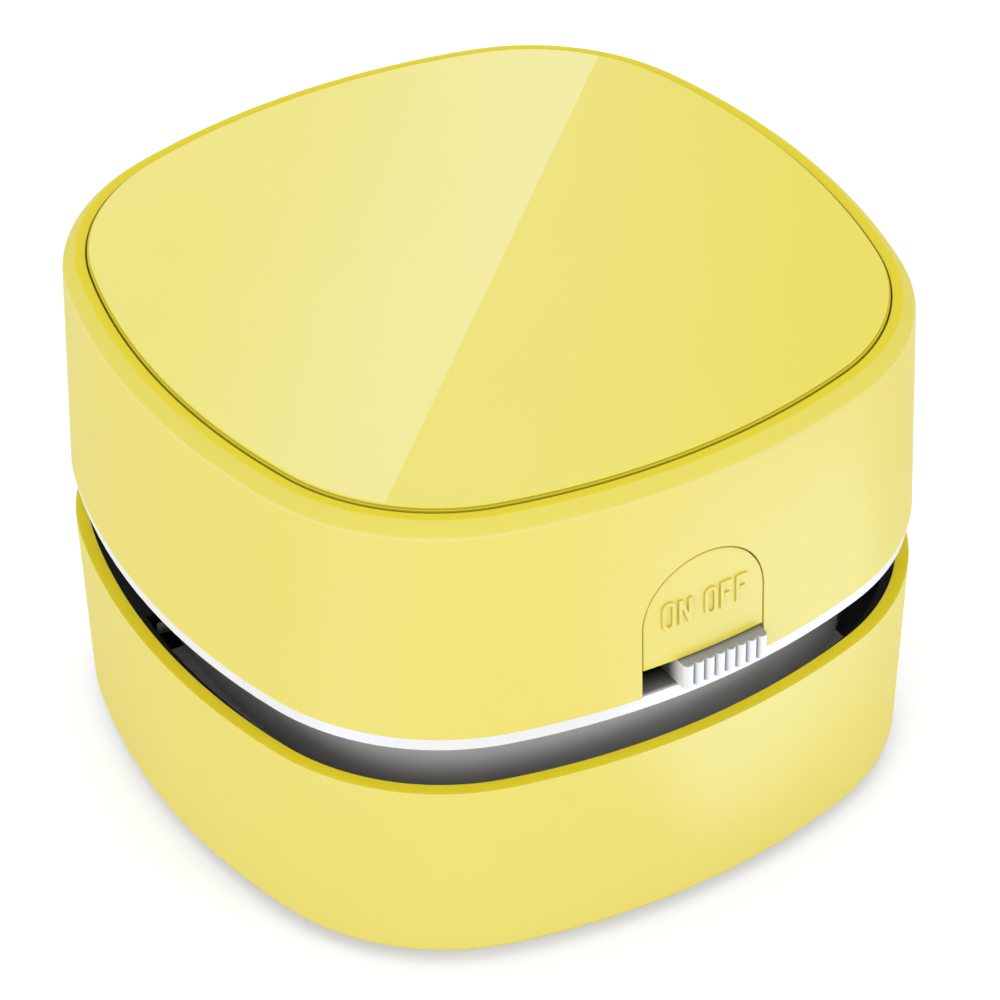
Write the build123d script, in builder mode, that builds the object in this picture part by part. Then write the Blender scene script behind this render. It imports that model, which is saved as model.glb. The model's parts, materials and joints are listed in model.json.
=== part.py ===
from build123d import *
from math import asin, degrees, radians, sin, sqrt, tan
import os

# Desktop mini vacuum cleaner, in millimetres. +Z is up and the switch side faces -Y.
# The origin lies on the desk, under the middle of the body.

# Outline: four bowed sides joined by four round corners
body_width = 85.0
side_radius = 79.4
corner_radius = 25.8
draft_angle = 1.75

# Heights of the body's bands, from the desk up
pad_height = 1.5
bin_height = 23.1
air_gap = 5.75
deck_thickness = 1.55
cover_height = 26.6

# Clearances
fit_gap = 0.15
free_gap = 0.3
shaft_gap = 0.03
screw_gap = 0.05

# How far a joined shape reaches into its neighbour
root_bite = 0.5

# Dust bin
bin_wall = 1.5
bin_floor = 1.6
bin_edge_fillet = 1.0
liner_wall = 1.2
liner_floor = 1.4
liner_drop = 1.8
pad_radius = 4.0
pad_margin = 15.0

# Base plate, suction mouth and brush
mouth_radius = 11.0
mouth_wall = 1.5
mouth_height = 7.1
mouth_flare = 1.2
brush_inner = 14.0
brush_width = 4.5
brush_depth = 2.2
carrier_height = 1.0
brush_reach = 1.3
tuft_radius = 0.7
tuft_count = 30
hub_wall = 2.0
plate_radius = 28.8
plate_lip = 2.2
lip_thickness = 0.8
base_screw_circle = 25.0

# Screws
screw_radius = 1.0
screw_head_radius = 1.9
screw_head_height = 1.2
base_screw_length = 6.5
deck_screw_length = 9.5
motor_screw_length = 3.0
boss_wall = 1.5
boss_cap = 1.0

# Neck, gasket, exhaust slots and snap lugs
neck_inset = 6.75
neck_wall = 1.6
neck_height = 11.95
neck_lip = 1.25
neck_lip_height = 1.2
gasket_height = 0.8
gasket_gap = 0.1
shelf_thickness = 1.2
shelf_lap = 1.15
slot_width = 1.6
slot_pitch = 3.2
slot_height = 3.6
slot_drop = 0.9
side_slots = 13
corner_slots = 5
lug_raise = 0.8
lug_length = 8.0
lug_height = 1.4
lug_reach = 2.2
hook_lap = 1.0
hook_height = 1.2
lug_turn = 9.0

# Fan base and filter
fan_base_thickness = 1.6
inlet_radius = 13.0
guard_width = 1.3
guard_ring = 6.0
post_margin = 2.35
post_y = 10.0
post_radius = 2.4
spigot_radius = 21.2
spigot_wall = 1.6
collar_wall = 1.4
collar_depth = 2.2
flange_height = 1.0
flange_width = 2.4
basket_radius = 17.4
basket_depth = 2.4
mesh_wall = 0.4
rib_width = 1.2
rib_depth = 0.8
rib_count = 8
pull_length = 8.0
pull_height = 2.0

# Impeller
impeller_radius = 23.0
impeller_disc = 1.2
impeller_gap = 0.8
blade_gap = 1.0
blade_count = 9
blade_thickness = 1.0
blade_start = 9.0
blade_lag = 38.0
hub_radius = 3.5

# Motor
motor_radius = 10.0
motor_flats = 15.0
can_height = 19.5
can_wall = 0.8
cap_height = 5.6
cap_wall = 1.2
cap_roof = 2.8
nose_radius = 3.1
nose_height = 1.1
bush_radius = 2.4
bush_height = 2.0
shaft_radius = 1.0
motor_screw_place = 6.3
magnet_height = 14.0
magnet_half_angle = 36.0
core_radius = 6.3
core_height = 9.5
core_hub = 2.4
pole_thickness = 1.4
pole_split = 1.6
stem_width = 2.4
winding_width = 4.8
winding_over = 1.3
commutator_radius = 2.4
commutator_height = 3.4
terminal_width = 2.2
terminal_thickness = 0.5
terminal_reach = 2.6
terminal_raise = 1.3
brush_block_width = 1.6
brush_block_height = 1.2
motor_headroom = 1.05
well_floor = 1.4
socket_wall = 1.4
socket_height = 6.0

# Deck, battery tray and cells
deck_inset = 0.25
skirt_wall = 1.2
skirt_height = 5.1
skirt_break = 12.5
tray_floor = 1.4
tray_wall = 1.4
tray_edge = 0.6
cell_radius = 7.25
cell_length = 49.5
nub_radius = 2.75
nub_height = 1.0
cell_place = 19.5
cell_gap = 0.2
cradle_width = 14.0
cradle_height = 4.7
tray_end_height = 12.5
ear_length = 6.0
ear_reach = 2.6
spring_room = 2.4
contact_thickness = 0.4
contact_width = 10.0
contact_height = 9.0
tag_width = 2.0
tag_length = 2.9
spring_wire = 0.5
spring_radius = 3.2
spring_turns = 2.5

# Cover and top panel
cover_wall = 1.8
cover_roof = 1.6
cover_edge_fillet = 1.2
panel_inset = 3.5
panel_gap = 0.2
panel_thickness = 1.6
panel_proud = 0.45
panel_edge = 0.25

# Push tab, measured up from the deck
tab_half_width = 7.35
tab_base = 3.5
tab_top = 15.85
tab_travel = 1.2
tab_flange = 1.2
tab_lap = 1.5
tab_post_radius = 2.2
tab_post_head = 0.5
tab_post_height = 10.1
tab_spring_shut = 1.8
tab_spring_wire = 0.4
letter_height = 2.85
letter_width = 1.15
letter_pitch = 1.95
letter_stroke = 0.42
letter_relief = 0.22
letter_centre = 9.6
catch_start = 9.6
catch_width = 1.8
catch_height = 1.2
catch_base = 5.3
catch_gap = 0.2
tab_lug_height = 1.7
tab_lug_width = 2.9

# Slide switch, slider and the dark piece behind the slot
slot_floor = 0.2
slot_setback = 0.5
slot_depth = 3.9
slot_back_wall = 0.6
slot_back_width = 22.0
slider_start = -3.34
slider_ribs = 8
slider_rib_pitch = 1.3
slider_height = 2.95
slider_travel = 3.7
slider_proud = 1.25
slider_gap = 0.15
lever_width = 2.0
lever_height = 1.2
lever_raise = 1.3
lever_bite = 1.4
switch_wall = 1.5
switch_wall_height = 15.6
switch_wall_width = 22.0
switch_width = 11.0
switch_depth = 4.4
switch_height = 4.1
pin_width = 0.8
pin_depth = 1.2
pin_height = 3.0
pin_pitch = 3.0
wire_radius = 0.5
wire_bend = 2.0
wire_lead = 7.0
wire_run = 4.0
wire_turn = 3.0

# Levels that follow from the heights
body_half = body_width / 2
shell_base = pad_height
bin_rim = shell_base + bin_height
deck_base = bin_rim + air_gap
deck_top = deck_base + deck_thickness
cover_rim = deck_top + cover_height
panel_top = cover_rim + panel_proud
panel_seat = panel_top - panel_thickness
ceiling = panel_seat - cover_roof
floor_top = shell_base + bin_floor
liner_top = floor_top + liner_floor
liner_rim = bin_rim - liner_drop
neck_base = deck_base - neck_height
shelf_top = neck_base - gasket_gap - gasket_height
fan_floor = neck_base + fan_base_thickness
motor_top = ceiling - motor_headroom
cap_base = motor_top - cap_height
motor_base = cap_base - can_height
well_base = motor_base - well_floor
impeller_top = min(well_base, deck_base) - impeller_gap
blade_base = fan_floor + blade_gap
tray_top = deck_top + tray_floor
cell_axis = tray_top + cell_gap + cell_radius

# Places that follow from the sizes
slope = tan(radians(draft_angle))
brush_outer = brush_inner + brush_width
hub_outer = brush_outer + hub_wall
liner_inset = bin_wall + fit_gap + slope * liner_drop
neck_inner = neck_inset + neck_wall
post_x = body_half - neck_inner - post_margin - post_radius
pad_place = body_half - pad_margin
skirt_inset = cover_wall + free_gap
tab_back = cover_wall + free_gap + tab_flange
tab_back_y = body_half - tab_back - slope * tab_post_height
tab_spring_room = tab_travel + tab_spring_shut
catch_depth = free_gap + tab_travel - catch_gap
switch_front_y = tab_back_y - tab_spring_room
switch_back_y = switch_front_y - switch_wall
switch_inner_y = switch_back_y - switch_depth
slot_back_y = body_half - slot_depth
slider_width = slider_ribs * slider_rib_pitch
slider_centre = slider_start + slider_width / 2
slider_base = deck_top + slot_floor + slider_gap
lever_base = deck_top + lever_raise
bay_half = (cell_length + nub_height + spring_room + cell_gap) / 2
end_wall_y = bay_half + contact_thickness + fit_gap
magnet_outer = motor_radius - can_wall - fit_gap
magnet_inner = core_radius + free_gap

hang = (Align.CENTER, Align.CENTER, Align.MAX)
stand = (Align.CENTER, Align.CENTER, Align.MIN)


def rounded_square(inset):
    # The body's outline drawn inwards by inset, so that all bands stay parallel
    half = body_half - inset
    bow = side_radius - inset
    corner = corner_radius - inset
    swing = 45 - degrees(asin((bow - half) / (sqrt(2) * (bow - corner))))
    seat = (bow - corner) * sin(radians(swing))
    with BuildSketch() as outline:
        with BuildLine():
            for turn in (0, 90, 180, 270):
                side_centre = Vector(half - bow, 0).rotate(Axis.Z, turn)
                corner_centre = Vector(seat, seat).rotate(Axis.Z, turn)
                CenterArc(side_centre, bow, turn - swing, 2 * swing)
                CenterArc(corner_centre, corner, turn + swing, 90 - 2 * swing)
        make_face()
    return outline.sketch


def level_block(inset, base, height):
    with BuildPart() as block:
        with BuildSketch(Plane.XY.offset(base)):
            add(rounded_square(inset))
        extrude(amount=height)
    return block.part


def drafted_block(inset, base, height):
    # Narrows away from its base; a negative height draws it downwards
    with BuildPart() as block:
        with BuildSketch(Plane.XY.offset(base)):
            add(rounded_square(inset))
        extrude(amount=height, taper=draft_angle)
    return block.part


def level_ring(outer_inset, inner_inset, base, height):
    with BuildPart() as ring:
        add(level_block(outer_inset, base, height))
        add(level_block(inner_inset, base, height), mode=Mode.SUBTRACT)
    return ring.part


def wall_patch(outline, outer_inset, inner_inset):
    # What an outline on the XZ plane cuts from the cover's front wall between two depths
    with BuildPart() as wall:
        add(drafted_block(outer_inset, deck_top, cover_height))
        add(drafted_block(inner_inset, deck_top, cover_height), mode=Mode.SUBTRACT)
    with BuildPart() as patch:
        extrude(outline, amount=body_width)
        add(wall.part, mode=Mode.INTERSECT)
    return patch.part


def disc(radius, base, height):
    with BuildPart() as solid:
        with Locations((0, 0, base)):
            Cylinder(radius, height, align=stand)
    return solid.part


def tube(outer, inner, base, height):
    with BuildPart() as solid:
        with Locations((0, 0, base)):
            Cylinder(outer, height, align=stand)
            Cylinder(inner, height, align=stand, mode=Mode.SUBTRACT)
    return solid.part


def box(low, high):
    size = [b - a for a, b in zip(low, high)]
    with BuildPart() as solid:
        with Locations(low):
            Box(*size, align=(Align.MIN, Align.MIN, Align.MIN))
    return solid.part


def side_pair(block):
    # Carries a block from the middle of the right side back along its arc, and repeats it on the left
    arc_axis = Axis((body_half - side_radius, 0, 0), (0, 0, 1))
    placed = block.rotate(arc_axis, lug_turn)
    return [placed, placed.mirror(Plane.YZ)]


def arch(half_width, base, top):
    # A flat foot under a half round top, on the XZ plane, measured up from the deck
    foot = deck_top + base
    spring_line = deck_top + top - half_width
    with BuildSketch(Plane.XZ) as outline:
        with BuildLine():
            Polyline((-half_width, spring_line), (-half_width, foot), (half_width, foot), (half_width, spring_line))
            CenterArc((0, spring_line), half_width, 0, 180)
        make_face()
    return outline.sketch


def front_rectangle(left, right, base, top):
    with BuildSketch(Plane.XZ) as outline:
        with Locations(((left + right) / 2, deck_top + (base + top) / 2)):
            Rectangle(right - left, top - base)
    return outline.sketch


def motor_outline(grow):
    with BuildSketch() as outline:
        Circle(motor_radius + grow)
        Rectangle(motor_flats + 2 * grow, 2 * (motor_radius + grow), mode=Mode.INTERSECT)
    return outline.sketch


def motor_block(grow, base, height):
    with BuildPart() as block:
        with BuildSketch(Plane.XY.offset(base)):
            add(motor_outline(grow))
        extrude(amount=height)
    return block.part


def screw(length, countersunk, grow=0.0):
    # Hangs from its head's top at the origin; with grow it is the hole for the screw
    with BuildPart() as solid:
        if countersunk:
            Cone(screw_radius + grow, screw_head_radius + grow, screw_head_height, align=hang)
        else:
            Cylinder(screw_head_radius + grow, screw_head_height, align=hang)
        Cylinder(screw_radius + grow, length + grow, align=hang)
        if grow == 0:
            Box(1.2 * screw_head_radius, screw_radius / 3, screw_head_height, mode=Mode.SUBTRACT)
            Box(screw_radius / 3, 1.2 * screw_head_radius, screw_head_height, mode=Mode.SUBTRACT)
    return solid.part


def coil(radius, wire, turns, start, length):
    # A compression spring along +Y from its start point
    centre = Vector(start) + Vector(0, wire / 2, 0)
    rise = length - wire
    with BuildPart() as spring:
        with BuildLine() as path:
            Helix(rise / turns, rise, radius, center=centre, direction=(0, 1, 0))
        with BuildSketch(Plane(origin=path.line @ 0, z_dir=path.line % 0)):
            Circle(wire / 2)
        sweep()
    return spring.part


def wire(points):
    with BuildPart() as lead:
        with BuildLine() as path:
            FilletPolyline(*points, radius=wire_bend)
        with BuildSketch(Plane(origin=path.line @ 0, z_dir=path.line % 0)):
            Circle(wire_radius)
        sweep()
    return lead.part


def save(piece, name):
    piece.part.label = name
    export_step(piece.part, f"parts/{name}.step")


os.makedirs("parts", exist_ok=True)

base_screws_at = [
    Location(Vector(base_screw_circle, 0, shell_base).rotate(Axis.Z, turn), (180, 0, 0))
    for turn in (45, 135, 225, 315)
]
deck_screws_at = [
    Location((x, y, tray_top + screw_head_height)) for x in (-post_x, post_x) for y in (-post_y, post_y)
]
motor_screws_at = [
    Location((0, y, well_base), (180, 0, 0)) for y in (-motor_screw_place, motor_screw_place)
]

# ---- Dust bin -------------------------------------------------------------------

with BuildPart() as lower_shell:
    add(drafted_block(0, bin_rim, -bin_height))
    fillet(lower_shell.faces().sort_by(Axis.Z)[0].edges(), bin_edge_fillet)
    add(drafted_block(bin_wall, bin_rim, floor_top - bin_rim), mode=Mode.SUBTRACT)
    add(disc(plate_radius + fit_gap, shell_base, bin_floor), mode=Mode.SUBTRACT)
    add(disc(plate_radius + plate_lip + fit_gap, shell_base, lip_thickness), mode=Mode.SUBTRACT)
save(lower_shell, "lower_shell")

with BuildPart() as base_plate:
    add(disc(plate_radius + plate_lip, shell_base, lip_thickness))
    add(disc(plate_radius, shell_base, bin_floor))
    add(disc(hub_outer, shell_base, brush_depth + liner_floor))
    add(disc(mouth_radius + mouth_wall, shell_base, mouth_height))
    add(disc(mouth_radius, shell_base, mouth_height), mode=Mode.SUBTRACT)
    mouth_edge = base_plate.edges().filter_by(GeomType.CIRCLE).group_by(Axis.Z)[0].sort_by(SortBy.RADIUS)[0]
    chamfer(mouth_edge, mouth_flare)
    add(tube(brush_outer, brush_inner, shell_base, brush_depth), mode=Mode.SUBTRACT)
    with Locations(base_screws_at):
        add(screw(base_screw_length, True, screw_gap), mode=Mode.SUBTRACT)
save(base_plate, "base_plate")

carrier_base = shell_base + brush_depth - carrier_height
with BuildPart() as brush_carrier:
    add(tube(brush_outer - fit_gap, brush_inner + fit_gap, carrier_base, carrier_height))
save(brush_carrier, "brush_carrier")

with BuildPart() as brush_tufts:
    with BuildSketch(Plane.XY.offset(carrier_base)):
        for row in (-1, 1):
            row_radius = (brush_inner + brush_outer) / 2 + row * brush_width / 4
            with PolarLocations(row_radius, tuft_count, start_angle=90 * row / tuft_count):
                Circle(tuft_radius)
    extrude(amount=shell_base - brush_reach - carrier_base)
save(brush_tufts, "brush_tufts")

with BuildPart() as glide_pads:
    with BuildSketch():
        with GridLocations(2 * pad_place, 2 * pad_place, 2, 2):
            Circle(pad_radius)
    extrude(amount=pad_height)
    chamfer(glide_pads.edges().group_by(Axis.Z)[0], pad_height / 4)
save(glide_pads, "glide_pads")

with BuildPart() as base_screws:
    with Locations(base_screws_at):
        add(screw(base_screw_length, True))
save(base_screws, "base_screws")

lug_base = neck_base + lug_raise
hook_base = lug_base + lug_height + free_gap
hook_tip = body_half - neck_inset + lug_reach - hook_lap
with BuildPart() as bin_liner:
    add(drafted_block(liner_inset, liner_rim, floor_top - liner_rim))
    add(drafted_block(liner_inset + liner_wall, liner_rim, liner_top - liner_rim), mode=Mode.SUBTRACT)
    add(disc(hub_outer + fit_gap, floor_top, liner_floor), mode=Mode.SUBTRACT)
    shelf_outer = liner_inset + liner_wall / 2 + slope * (liner_rim - shelf_top)
    add(level_ring(shelf_outer, neck_inner + shelf_lap, shelf_top - shelf_thickness, shelf_thickness))
    hook_root = body_half - liner_inset - liner_wall / 2 - slope * (liner_rim - hook_base)
    hook = box(
        (hook_tip, -lug_length / 2, hook_base),
        (hook_root, lug_length / 2, hook_base + hook_height),
    )
    add(side_pair(hook))
    boss_top = shell_base + base_screw_length + boss_cap
    with PolarLocations(base_screw_circle, 4, start_angle=45):
        with Locations((0, 0, floor_top)):
            Cylinder(screw_radius + boss_wall, boss_top - floor_top, align=stand)
    with Locations(base_screws_at):
        add(screw(base_screw_length, True, screw_gap), mode=Mode.SUBTRACT)
save(bin_liner, "bin_liner")

with BuildPart() as neck_gasket:
    add(level_ring(neck_inset + fit_gap, neck_inner - fit_gap, shelf_top, gasket_height))
save(neck_gasket, "neck_gasket")

# ---- Neck, fan base and filter --------------------------------------------------

with BuildPart() as neck_ring:
    add(level_ring(neck_inset, neck_inner, neck_base, neck_height))
    add(level_ring(neck_inset + neck_wall / 2, neck_inner + neck_lip, fan_floor, neck_lip_height))
    slot_middle = deck_base - slot_drop - slot_height / 2
    # The exhaust leaves over the back, over the right side and over the corner between them
    for turn, count in ((180, side_slots), (135, corner_slots), (90, side_slots)):
        with BuildSketch(Plane.XZ.rotated((0, 0, turn))):
            with Locations((0, slot_middle)):
                with GridLocations(slot_pitch, slot_height, count, 1):
                    RectangleRounded(slot_width, slot_height, slot_width / 4)
        extrude(amount=body_width, mode=Mode.SUBTRACT)
    lug = box(
        (body_half - neck_inset - neck_wall / 2, -lug_length / 2, lug_base),
        (body_half - neck_inset + lug_reach, lug_length / 2, lug_base + lug_height),
    )
    add(side_pair(lug))
save(neck_ring, "neck_ring")

collar_inner = spigot_radius + fit_gap
with BuildPart() as fan_base:
    add(level_block(neck_inner + fit_gap, neck_base, fan_base_thickness))
    add(disc(inlet_radius, neck_base, fan_base_thickness), mode=Mode.SUBTRACT)
    with Locations((0, 0, neck_base)):
        Box(2 * (inlet_radius + root_bite), guard_width, fan_base_thickness, align=stand)
        Box(guard_width, 2 * (inlet_radius + root_bite), fan_base_thickness, align=stand)
    add(tube(guard_ring + guard_width / 2, guard_ring - guard_width / 2, neck_base, fan_base_thickness))
    add(tube(collar_inner + collar_wall, collar_inner, neck_base - collar_depth, collar_depth))
    with BuildSketch(Plane.XY.offset(fan_floor)):
        with GridLocations(2 * post_x, 2 * post_y, 2, 2):
            Circle(post_radius)
    extrude(amount=deck_base - fan_floor)
    with Locations(deck_screws_at):
        add(screw(deck_screw_length, False, screw_gap), mode=Mode.SUBTRACT)
save(fan_base, "fan_base")

flange_top = neck_base - collar_depth - cell_gap
flange_base = flange_top - flange_height
basket_base = flange_base - basket_depth
rib_outer = basket_radius + rib_depth
with BuildPart() as filter_frame:
    add(tube(spigot_radius + flange_width, basket_radius + screw_gap, flange_base, flange_height))
    add(tube(spigot_radius, spigot_radius - spigot_wall, flange_top, collar_depth))
    with BuildSketch(Plane.XY.offset(basket_base)):
        with PolarLocations((basket_radius + screw_gap + rib_outer) / 2, rib_count):
            Rectangle(rib_depth - screw_gap, rib_width)
    extrude(amount=basket_depth)
    add(tube(rib_outer, basket_radius - rib_width, basket_base, mesh_wall))
    with Locations((0, 0, basket_base)):
        Box(2 * basket_radius, rib_width, mesh_wall, align=stand)
        Box(rib_width, 2 * basket_radius, mesh_wall, align=stand)
        Box(pull_length, rib_width, pull_height, align=hang)
save(filter_frame, "filter_frame")

with BuildPart() as filter_mesh:
    mesh_base = basket_base + mesh_wall
    add(disc(basket_radius, mesh_base, flange_top - mesh_base))
    add(disc(basket_radius - mesh_wall, mesh_base + mesh_wall, flange_top - mesh_base), mode=Mode.SUBTRACT)
save(filter_mesh, "filter_mesh")

# ---- Impeller and motor ---------------------------------------------------------

with BuildPart() as impeller:
    add(disc(impeller_radius, impeller_top - impeller_disc, impeller_disc))
    add(disc(hub_radius, blade_base, impeller_top - blade_base))
    with BuildSketch(Plane.XY.offset(blade_base)):
        with BuildLine():
            blade_root = Vector(blade_start, 0)
            blade_tip = Vector(impeller_radius - blade_thickness, 0).rotate(Axis.Z, -blade_lag)
            TangentArc(blade_root, blade_tip, tangent=(1, 0))
        trace(line_width=blade_thickness)
    blade = extrude(amount=impeller_top - impeller_disc - blade_base)
    with PolarLocations(0, blade_count):
        add(blade)
    Hole(shaft_radius)
save(impeller, "impeller")

with BuildPart() as motor_can:
    add(motor_block(0, motor_base, can_height))
    add(motor_block(-can_wall, motor_base + can_wall, can_height), mode=Mode.SUBTRACT)
    add(disc(nose_radius, motor_base - nose_height, nose_height))
    add(disc(bush_radius, motor_base - nose_height, nose_height + can_wall), mode=Mode.SUBTRACT)
    with Locations(motor_screws_at):
        add(screw(motor_screw_length, True, screw_gap), mode=Mode.SUBTRACT)
save(motor_can, "motor_can")

cavity_top = motor_top - cap_roof
terminal_z = cap_base + terminal_raise
terminal_start = motor_radius - cap_wall - terminal_reach / 2
terminal_end = motor_radius + terminal_reach
with BuildPart() as motor_end_cap:
    add(motor_block(0, cap_base, cap_height))
    add(motor_block(-cap_wall, cap_base, cap_height - cap_roof), mode=Mode.SUBTRACT)
    add(disc(bush_radius, cavity_top, bush_height), mode=Mode.SUBTRACT)
    with Locations((0, 0, terminal_z)):
        Box(terminal_width, 3 * motor_radius, terminal_thickness, mode=Mode.SUBTRACT)
save(motor_end_cap, "motor_end_cap")

with BuildPart() as motor_terminals:
    terminal = box(
        (-terminal_width / 2, terminal_start, terminal_z - terminal_thickness / 2),
        (terminal_width / 2, terminal_end, terminal_z + terminal_thickness / 2),
    )
    add(terminal)
    add(terminal.mirror(Plane.XZ))
save(motor_terminals, "motor_terminals")

with BuildPart() as motor_brushes:
    brush_block = box(
        (-brush_block_width / 2, commutator_radius + shaft_gap, terminal_z - brush_block_height / 2),
        (brush_block_width / 2, terminal_start, terminal_z + brush_block_height / 2),
    )
    add(brush_block)
    add(brush_block.mirror(Plane.XZ))
save(motor_brushes, "motor_brushes")

with BuildPart() as motor_bushes:
    bush_bore = shaft_radius + shaft_gap
    add(tube(bush_radius, bush_bore, motor_base - nose_height, bush_height))
    add(tube(bush_radius, bush_bore, cavity_top, bush_height))
save(motor_bushes, "motor_bushes")

can_middle = motor_base + can_height / 2
with BuildPart() as motor_magnets:
    with BuildSketch(Plane.XY.offset(can_middle - magnet_height / 2)):
        for side in (90, 270):
            start = side - magnet_half_angle
            with BuildLine():
                CenterArc((0, 0), magnet_outer, start, 2 * magnet_half_angle)
                CenterArc((0, 0), magnet_inner, start, 2 * magnet_half_angle)
                for turn in (start, start + 2 * magnet_half_angle):
                    reach = Vector(1, 0).rotate(Axis.Z, turn)
                    Line(reach * magnet_inner, reach * magnet_outer)
            make_face()
    extrude(amount=magnet_height)
save(motor_magnets, "motor_magnets")

core_base = can_middle - core_height / 2
with BuildPart() as armature_core:
    with BuildSketch(Plane.XY.offset(core_base)):
        Circle(core_radius)
        Circle(core_radius - pole_thickness, mode=Mode.SUBTRACT)
        with PolarLocations(core_radius, 3, start_angle=60):
            Rectangle(2 * (pole_thickness + root_bite), pole_split, mode=Mode.SUBTRACT)
        Circle(core_hub)
        with PolarLocations((core_radius - pole_thickness / 2) / 2, 3):
            Rectangle(core_radius - pole_thickness / 2, stem_width)
        Circle(shaft_radius, mode=Mode.SUBTRACT)
    extrude(amount=core_height)
save(armature_core, "armature_core")

with BuildPart() as armature_windings:
    with BuildSketch(Plane.XY.offset(core_base - winding_over)):
        winding_end = core_radius - pole_thickness - screw_gap
        with PolarLocations((core_hub + winding_end) / 2 + screw_gap, 3):
            Rectangle(winding_end - core_hub - 2 * screw_gap, winding_width)
    extrude(amount=core_height + 2 * winding_over)
    add(armature_core.part, mode=Mode.SUBTRACT)
save(armature_windings, "armature_windings")

with BuildPart() as commutator:
    add(tube(commutator_radius, shaft_radius, cavity_top - cell_gap - commutator_height, commutator_height))
save(commutator, "commutator")

with BuildPart() as motor_shaft:
    shaft_base = blade_base + impeller_gap
    add(disc(shaft_radius, shaft_base, cavity_top + bush_height - fit_gap - shaft_base))
save(motor_shaft, "motor_shaft")

with BuildPart() as motor_screws:
    with Locations(motor_screws_at):
        add(screw(motor_screw_length, True))
save(motor_screws, "motor_screws")

# ---- Deck, switch and batteries -------------------------------------------------

lever_sweep = (slider_travel + lever_width) / 2 + fit_gap
with BuildPart() as deck:
    add(level_block(deck_inset, deck_base, deck_thickness))
    add(level_ring(skirt_inset, skirt_inset + skirt_wall, deck_top, skirt_height))
    add(
        box((-skirt_break, -body_width, deck_top), (skirt_break, 0, deck_top + skirt_height)),
        mode=Mode.SUBTRACT,
    )
    socket_top = deck_top + socket_height
    add(motor_block(fit_gap + socket_wall, well_base, socket_top - well_base))
    add(motor_block(fit_gap, motor_base, socket_top - motor_base), mode=Mode.SUBTRACT)
    add(disc(nose_radius + fit_gap, fan_floor, motor_base - fan_floor), mode=Mode.SUBTRACT)
    add(
        box(
            (-switch_wall_width / 2, -switch_front_y, deck_top),
            (switch_wall_width / 2, -switch_back_y, deck_top + switch_wall_height),
        )
    )
    with Locations((0, -switch_front_y + switch_wall / 2, deck_top + tab_post_height)):
        Cylinder(tab_post_radius + screw_gap, 2 * switch_wall, rotation=(90, 0, 0), mode=Mode.SUBTRACT)
    add(
        box(
            (-lever_sweep, -switch_front_y, lever_base - fit_gap),
            (lever_sweep, -switch_back_y, lever_base + lever_height + fit_gap),
        ),
        mode=Mode.SUBTRACT,
    )
    with Locations(deck_screws_at):
        add(screw(deck_screw_length, False, screw_gap), mode=Mode.SUBTRACT)
    with Locations(motor_screws_at):
        add(screw(motor_screw_length, True, screw_gap), mode=Mode.SUBTRACT)
save(deck, "deck")

tray_half_x = cell_place + cell_radius + tray_edge
tray_half_y = end_wall_y + tray_wall
tag_base = cell_axis - contact_height / 2 + fit_gap
tag_end = end_wall_y + tag_length
ear_start = tray_half_x - root_bite
ear_end = post_x + ear_reach
with BuildPart() as battery_tray:
    add(box((-tray_half_x, -tray_half_y, deck_top), (tray_half_x, tray_half_y, tray_top)))
    with BuildSketch(Plane.XY.offset(deck_top)):
        with GridLocations(ear_start + ear_end, 2 * post_y, 2, 2):
            RectangleRounded(ear_end - ear_start, ear_length, root_bite)
    extrude(amount=tray_floor)
    for side in (-1, 1):
        with Locations((side * cell_place, 0, tray_top)):
            Box(cradle_width, 2 * bay_half, cradle_height, align=stand)
        for end in (-1, 1):
            with Locations((side * cell_place, end * (end_wall_y + tray_wall / 2), tray_top)):
                Box(cradle_width, tray_wall, tray_end_height, align=stand)
        with Locations((side * cell_place, 0, cell_axis)):
            Cylinder(cell_radius + cell_gap, 2 * bay_half, rotation=(90, 0, 0), mode=Mode.SUBTRACT)
        with Locations((side * cell_place, -end_wall_y, tag_base + contact_thickness / 2)):
            Box(
                tag_width + 2 * fit_gap,
                4 * tray_wall,
                contact_thickness + 2 * fit_gap,
                mode=Mode.SUBTRACT,
            )
    add(motor_block(fit_gap + socket_wall + free_gap, deck_top, tray_floor), mode=Mode.SUBTRACT)
    with Locations(deck_screws_at):
        add(screw(deck_screw_length, False, screw_gap), mode=Mode.SUBTRACT)
save(battery_tray, "battery_tray")

for side, name in ((-1, "cell_left"), (1, "cell_right")):
    # The two cells lie head to tail: the left one's nub points to +Y
    cell_end = -side * (bay_half - nub_height - cell_gap / 2)
    with BuildPart() as cell:
        with BuildSketch(Plane(origin=(side * cell_place, cell_end, cell_axis), z_dir=(0, side, 0))):
            Circle(cell_radius)
        extrude(amount=cell_length)
        fillet(cell.edges(), nub_height / 2)
        with BuildSketch(Plane(origin=(side * cell_place, cell_end, cell_axis), z_dir=(0, -side, 0))):
            Circle(nub_radius)
        extrude(amount=nub_height)
    save(cell, name)

with BuildPart() as contact_plates:
    for side in (-1, 1):
        with Locations((side * cell_place, -bay_half - contact_thickness / 2, cell_axis)):
            Box(contact_width, contact_thickness, contact_height)
        add(
            box(
                (side * cell_place - tag_width / 2, -tag_end, tag_base),
                (side * cell_place + tag_width / 2, -bay_half, tag_base + contact_thickness),
            )
        )
save(contact_plates, "contact_plates")

with BuildPart() as link_plate:
    with Locations((0, bay_half + contact_thickness / 2, cell_axis)):
        Box(2 * cell_place + contact_width, contact_thickness, contact_height)
save(link_plate, "link_plate")

with BuildPart() as contact_springs:
    add(coil(spring_radius, spring_wire, spring_turns, (-cell_place, -bay_half, cell_axis), spring_room))
    spring_start = (cell_place, bay_half - spring_room, cell_axis)
    add(coil(spring_radius, spring_wire, spring_turns, spring_start, spring_room))
save(contact_springs, "contact_springs")

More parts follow.
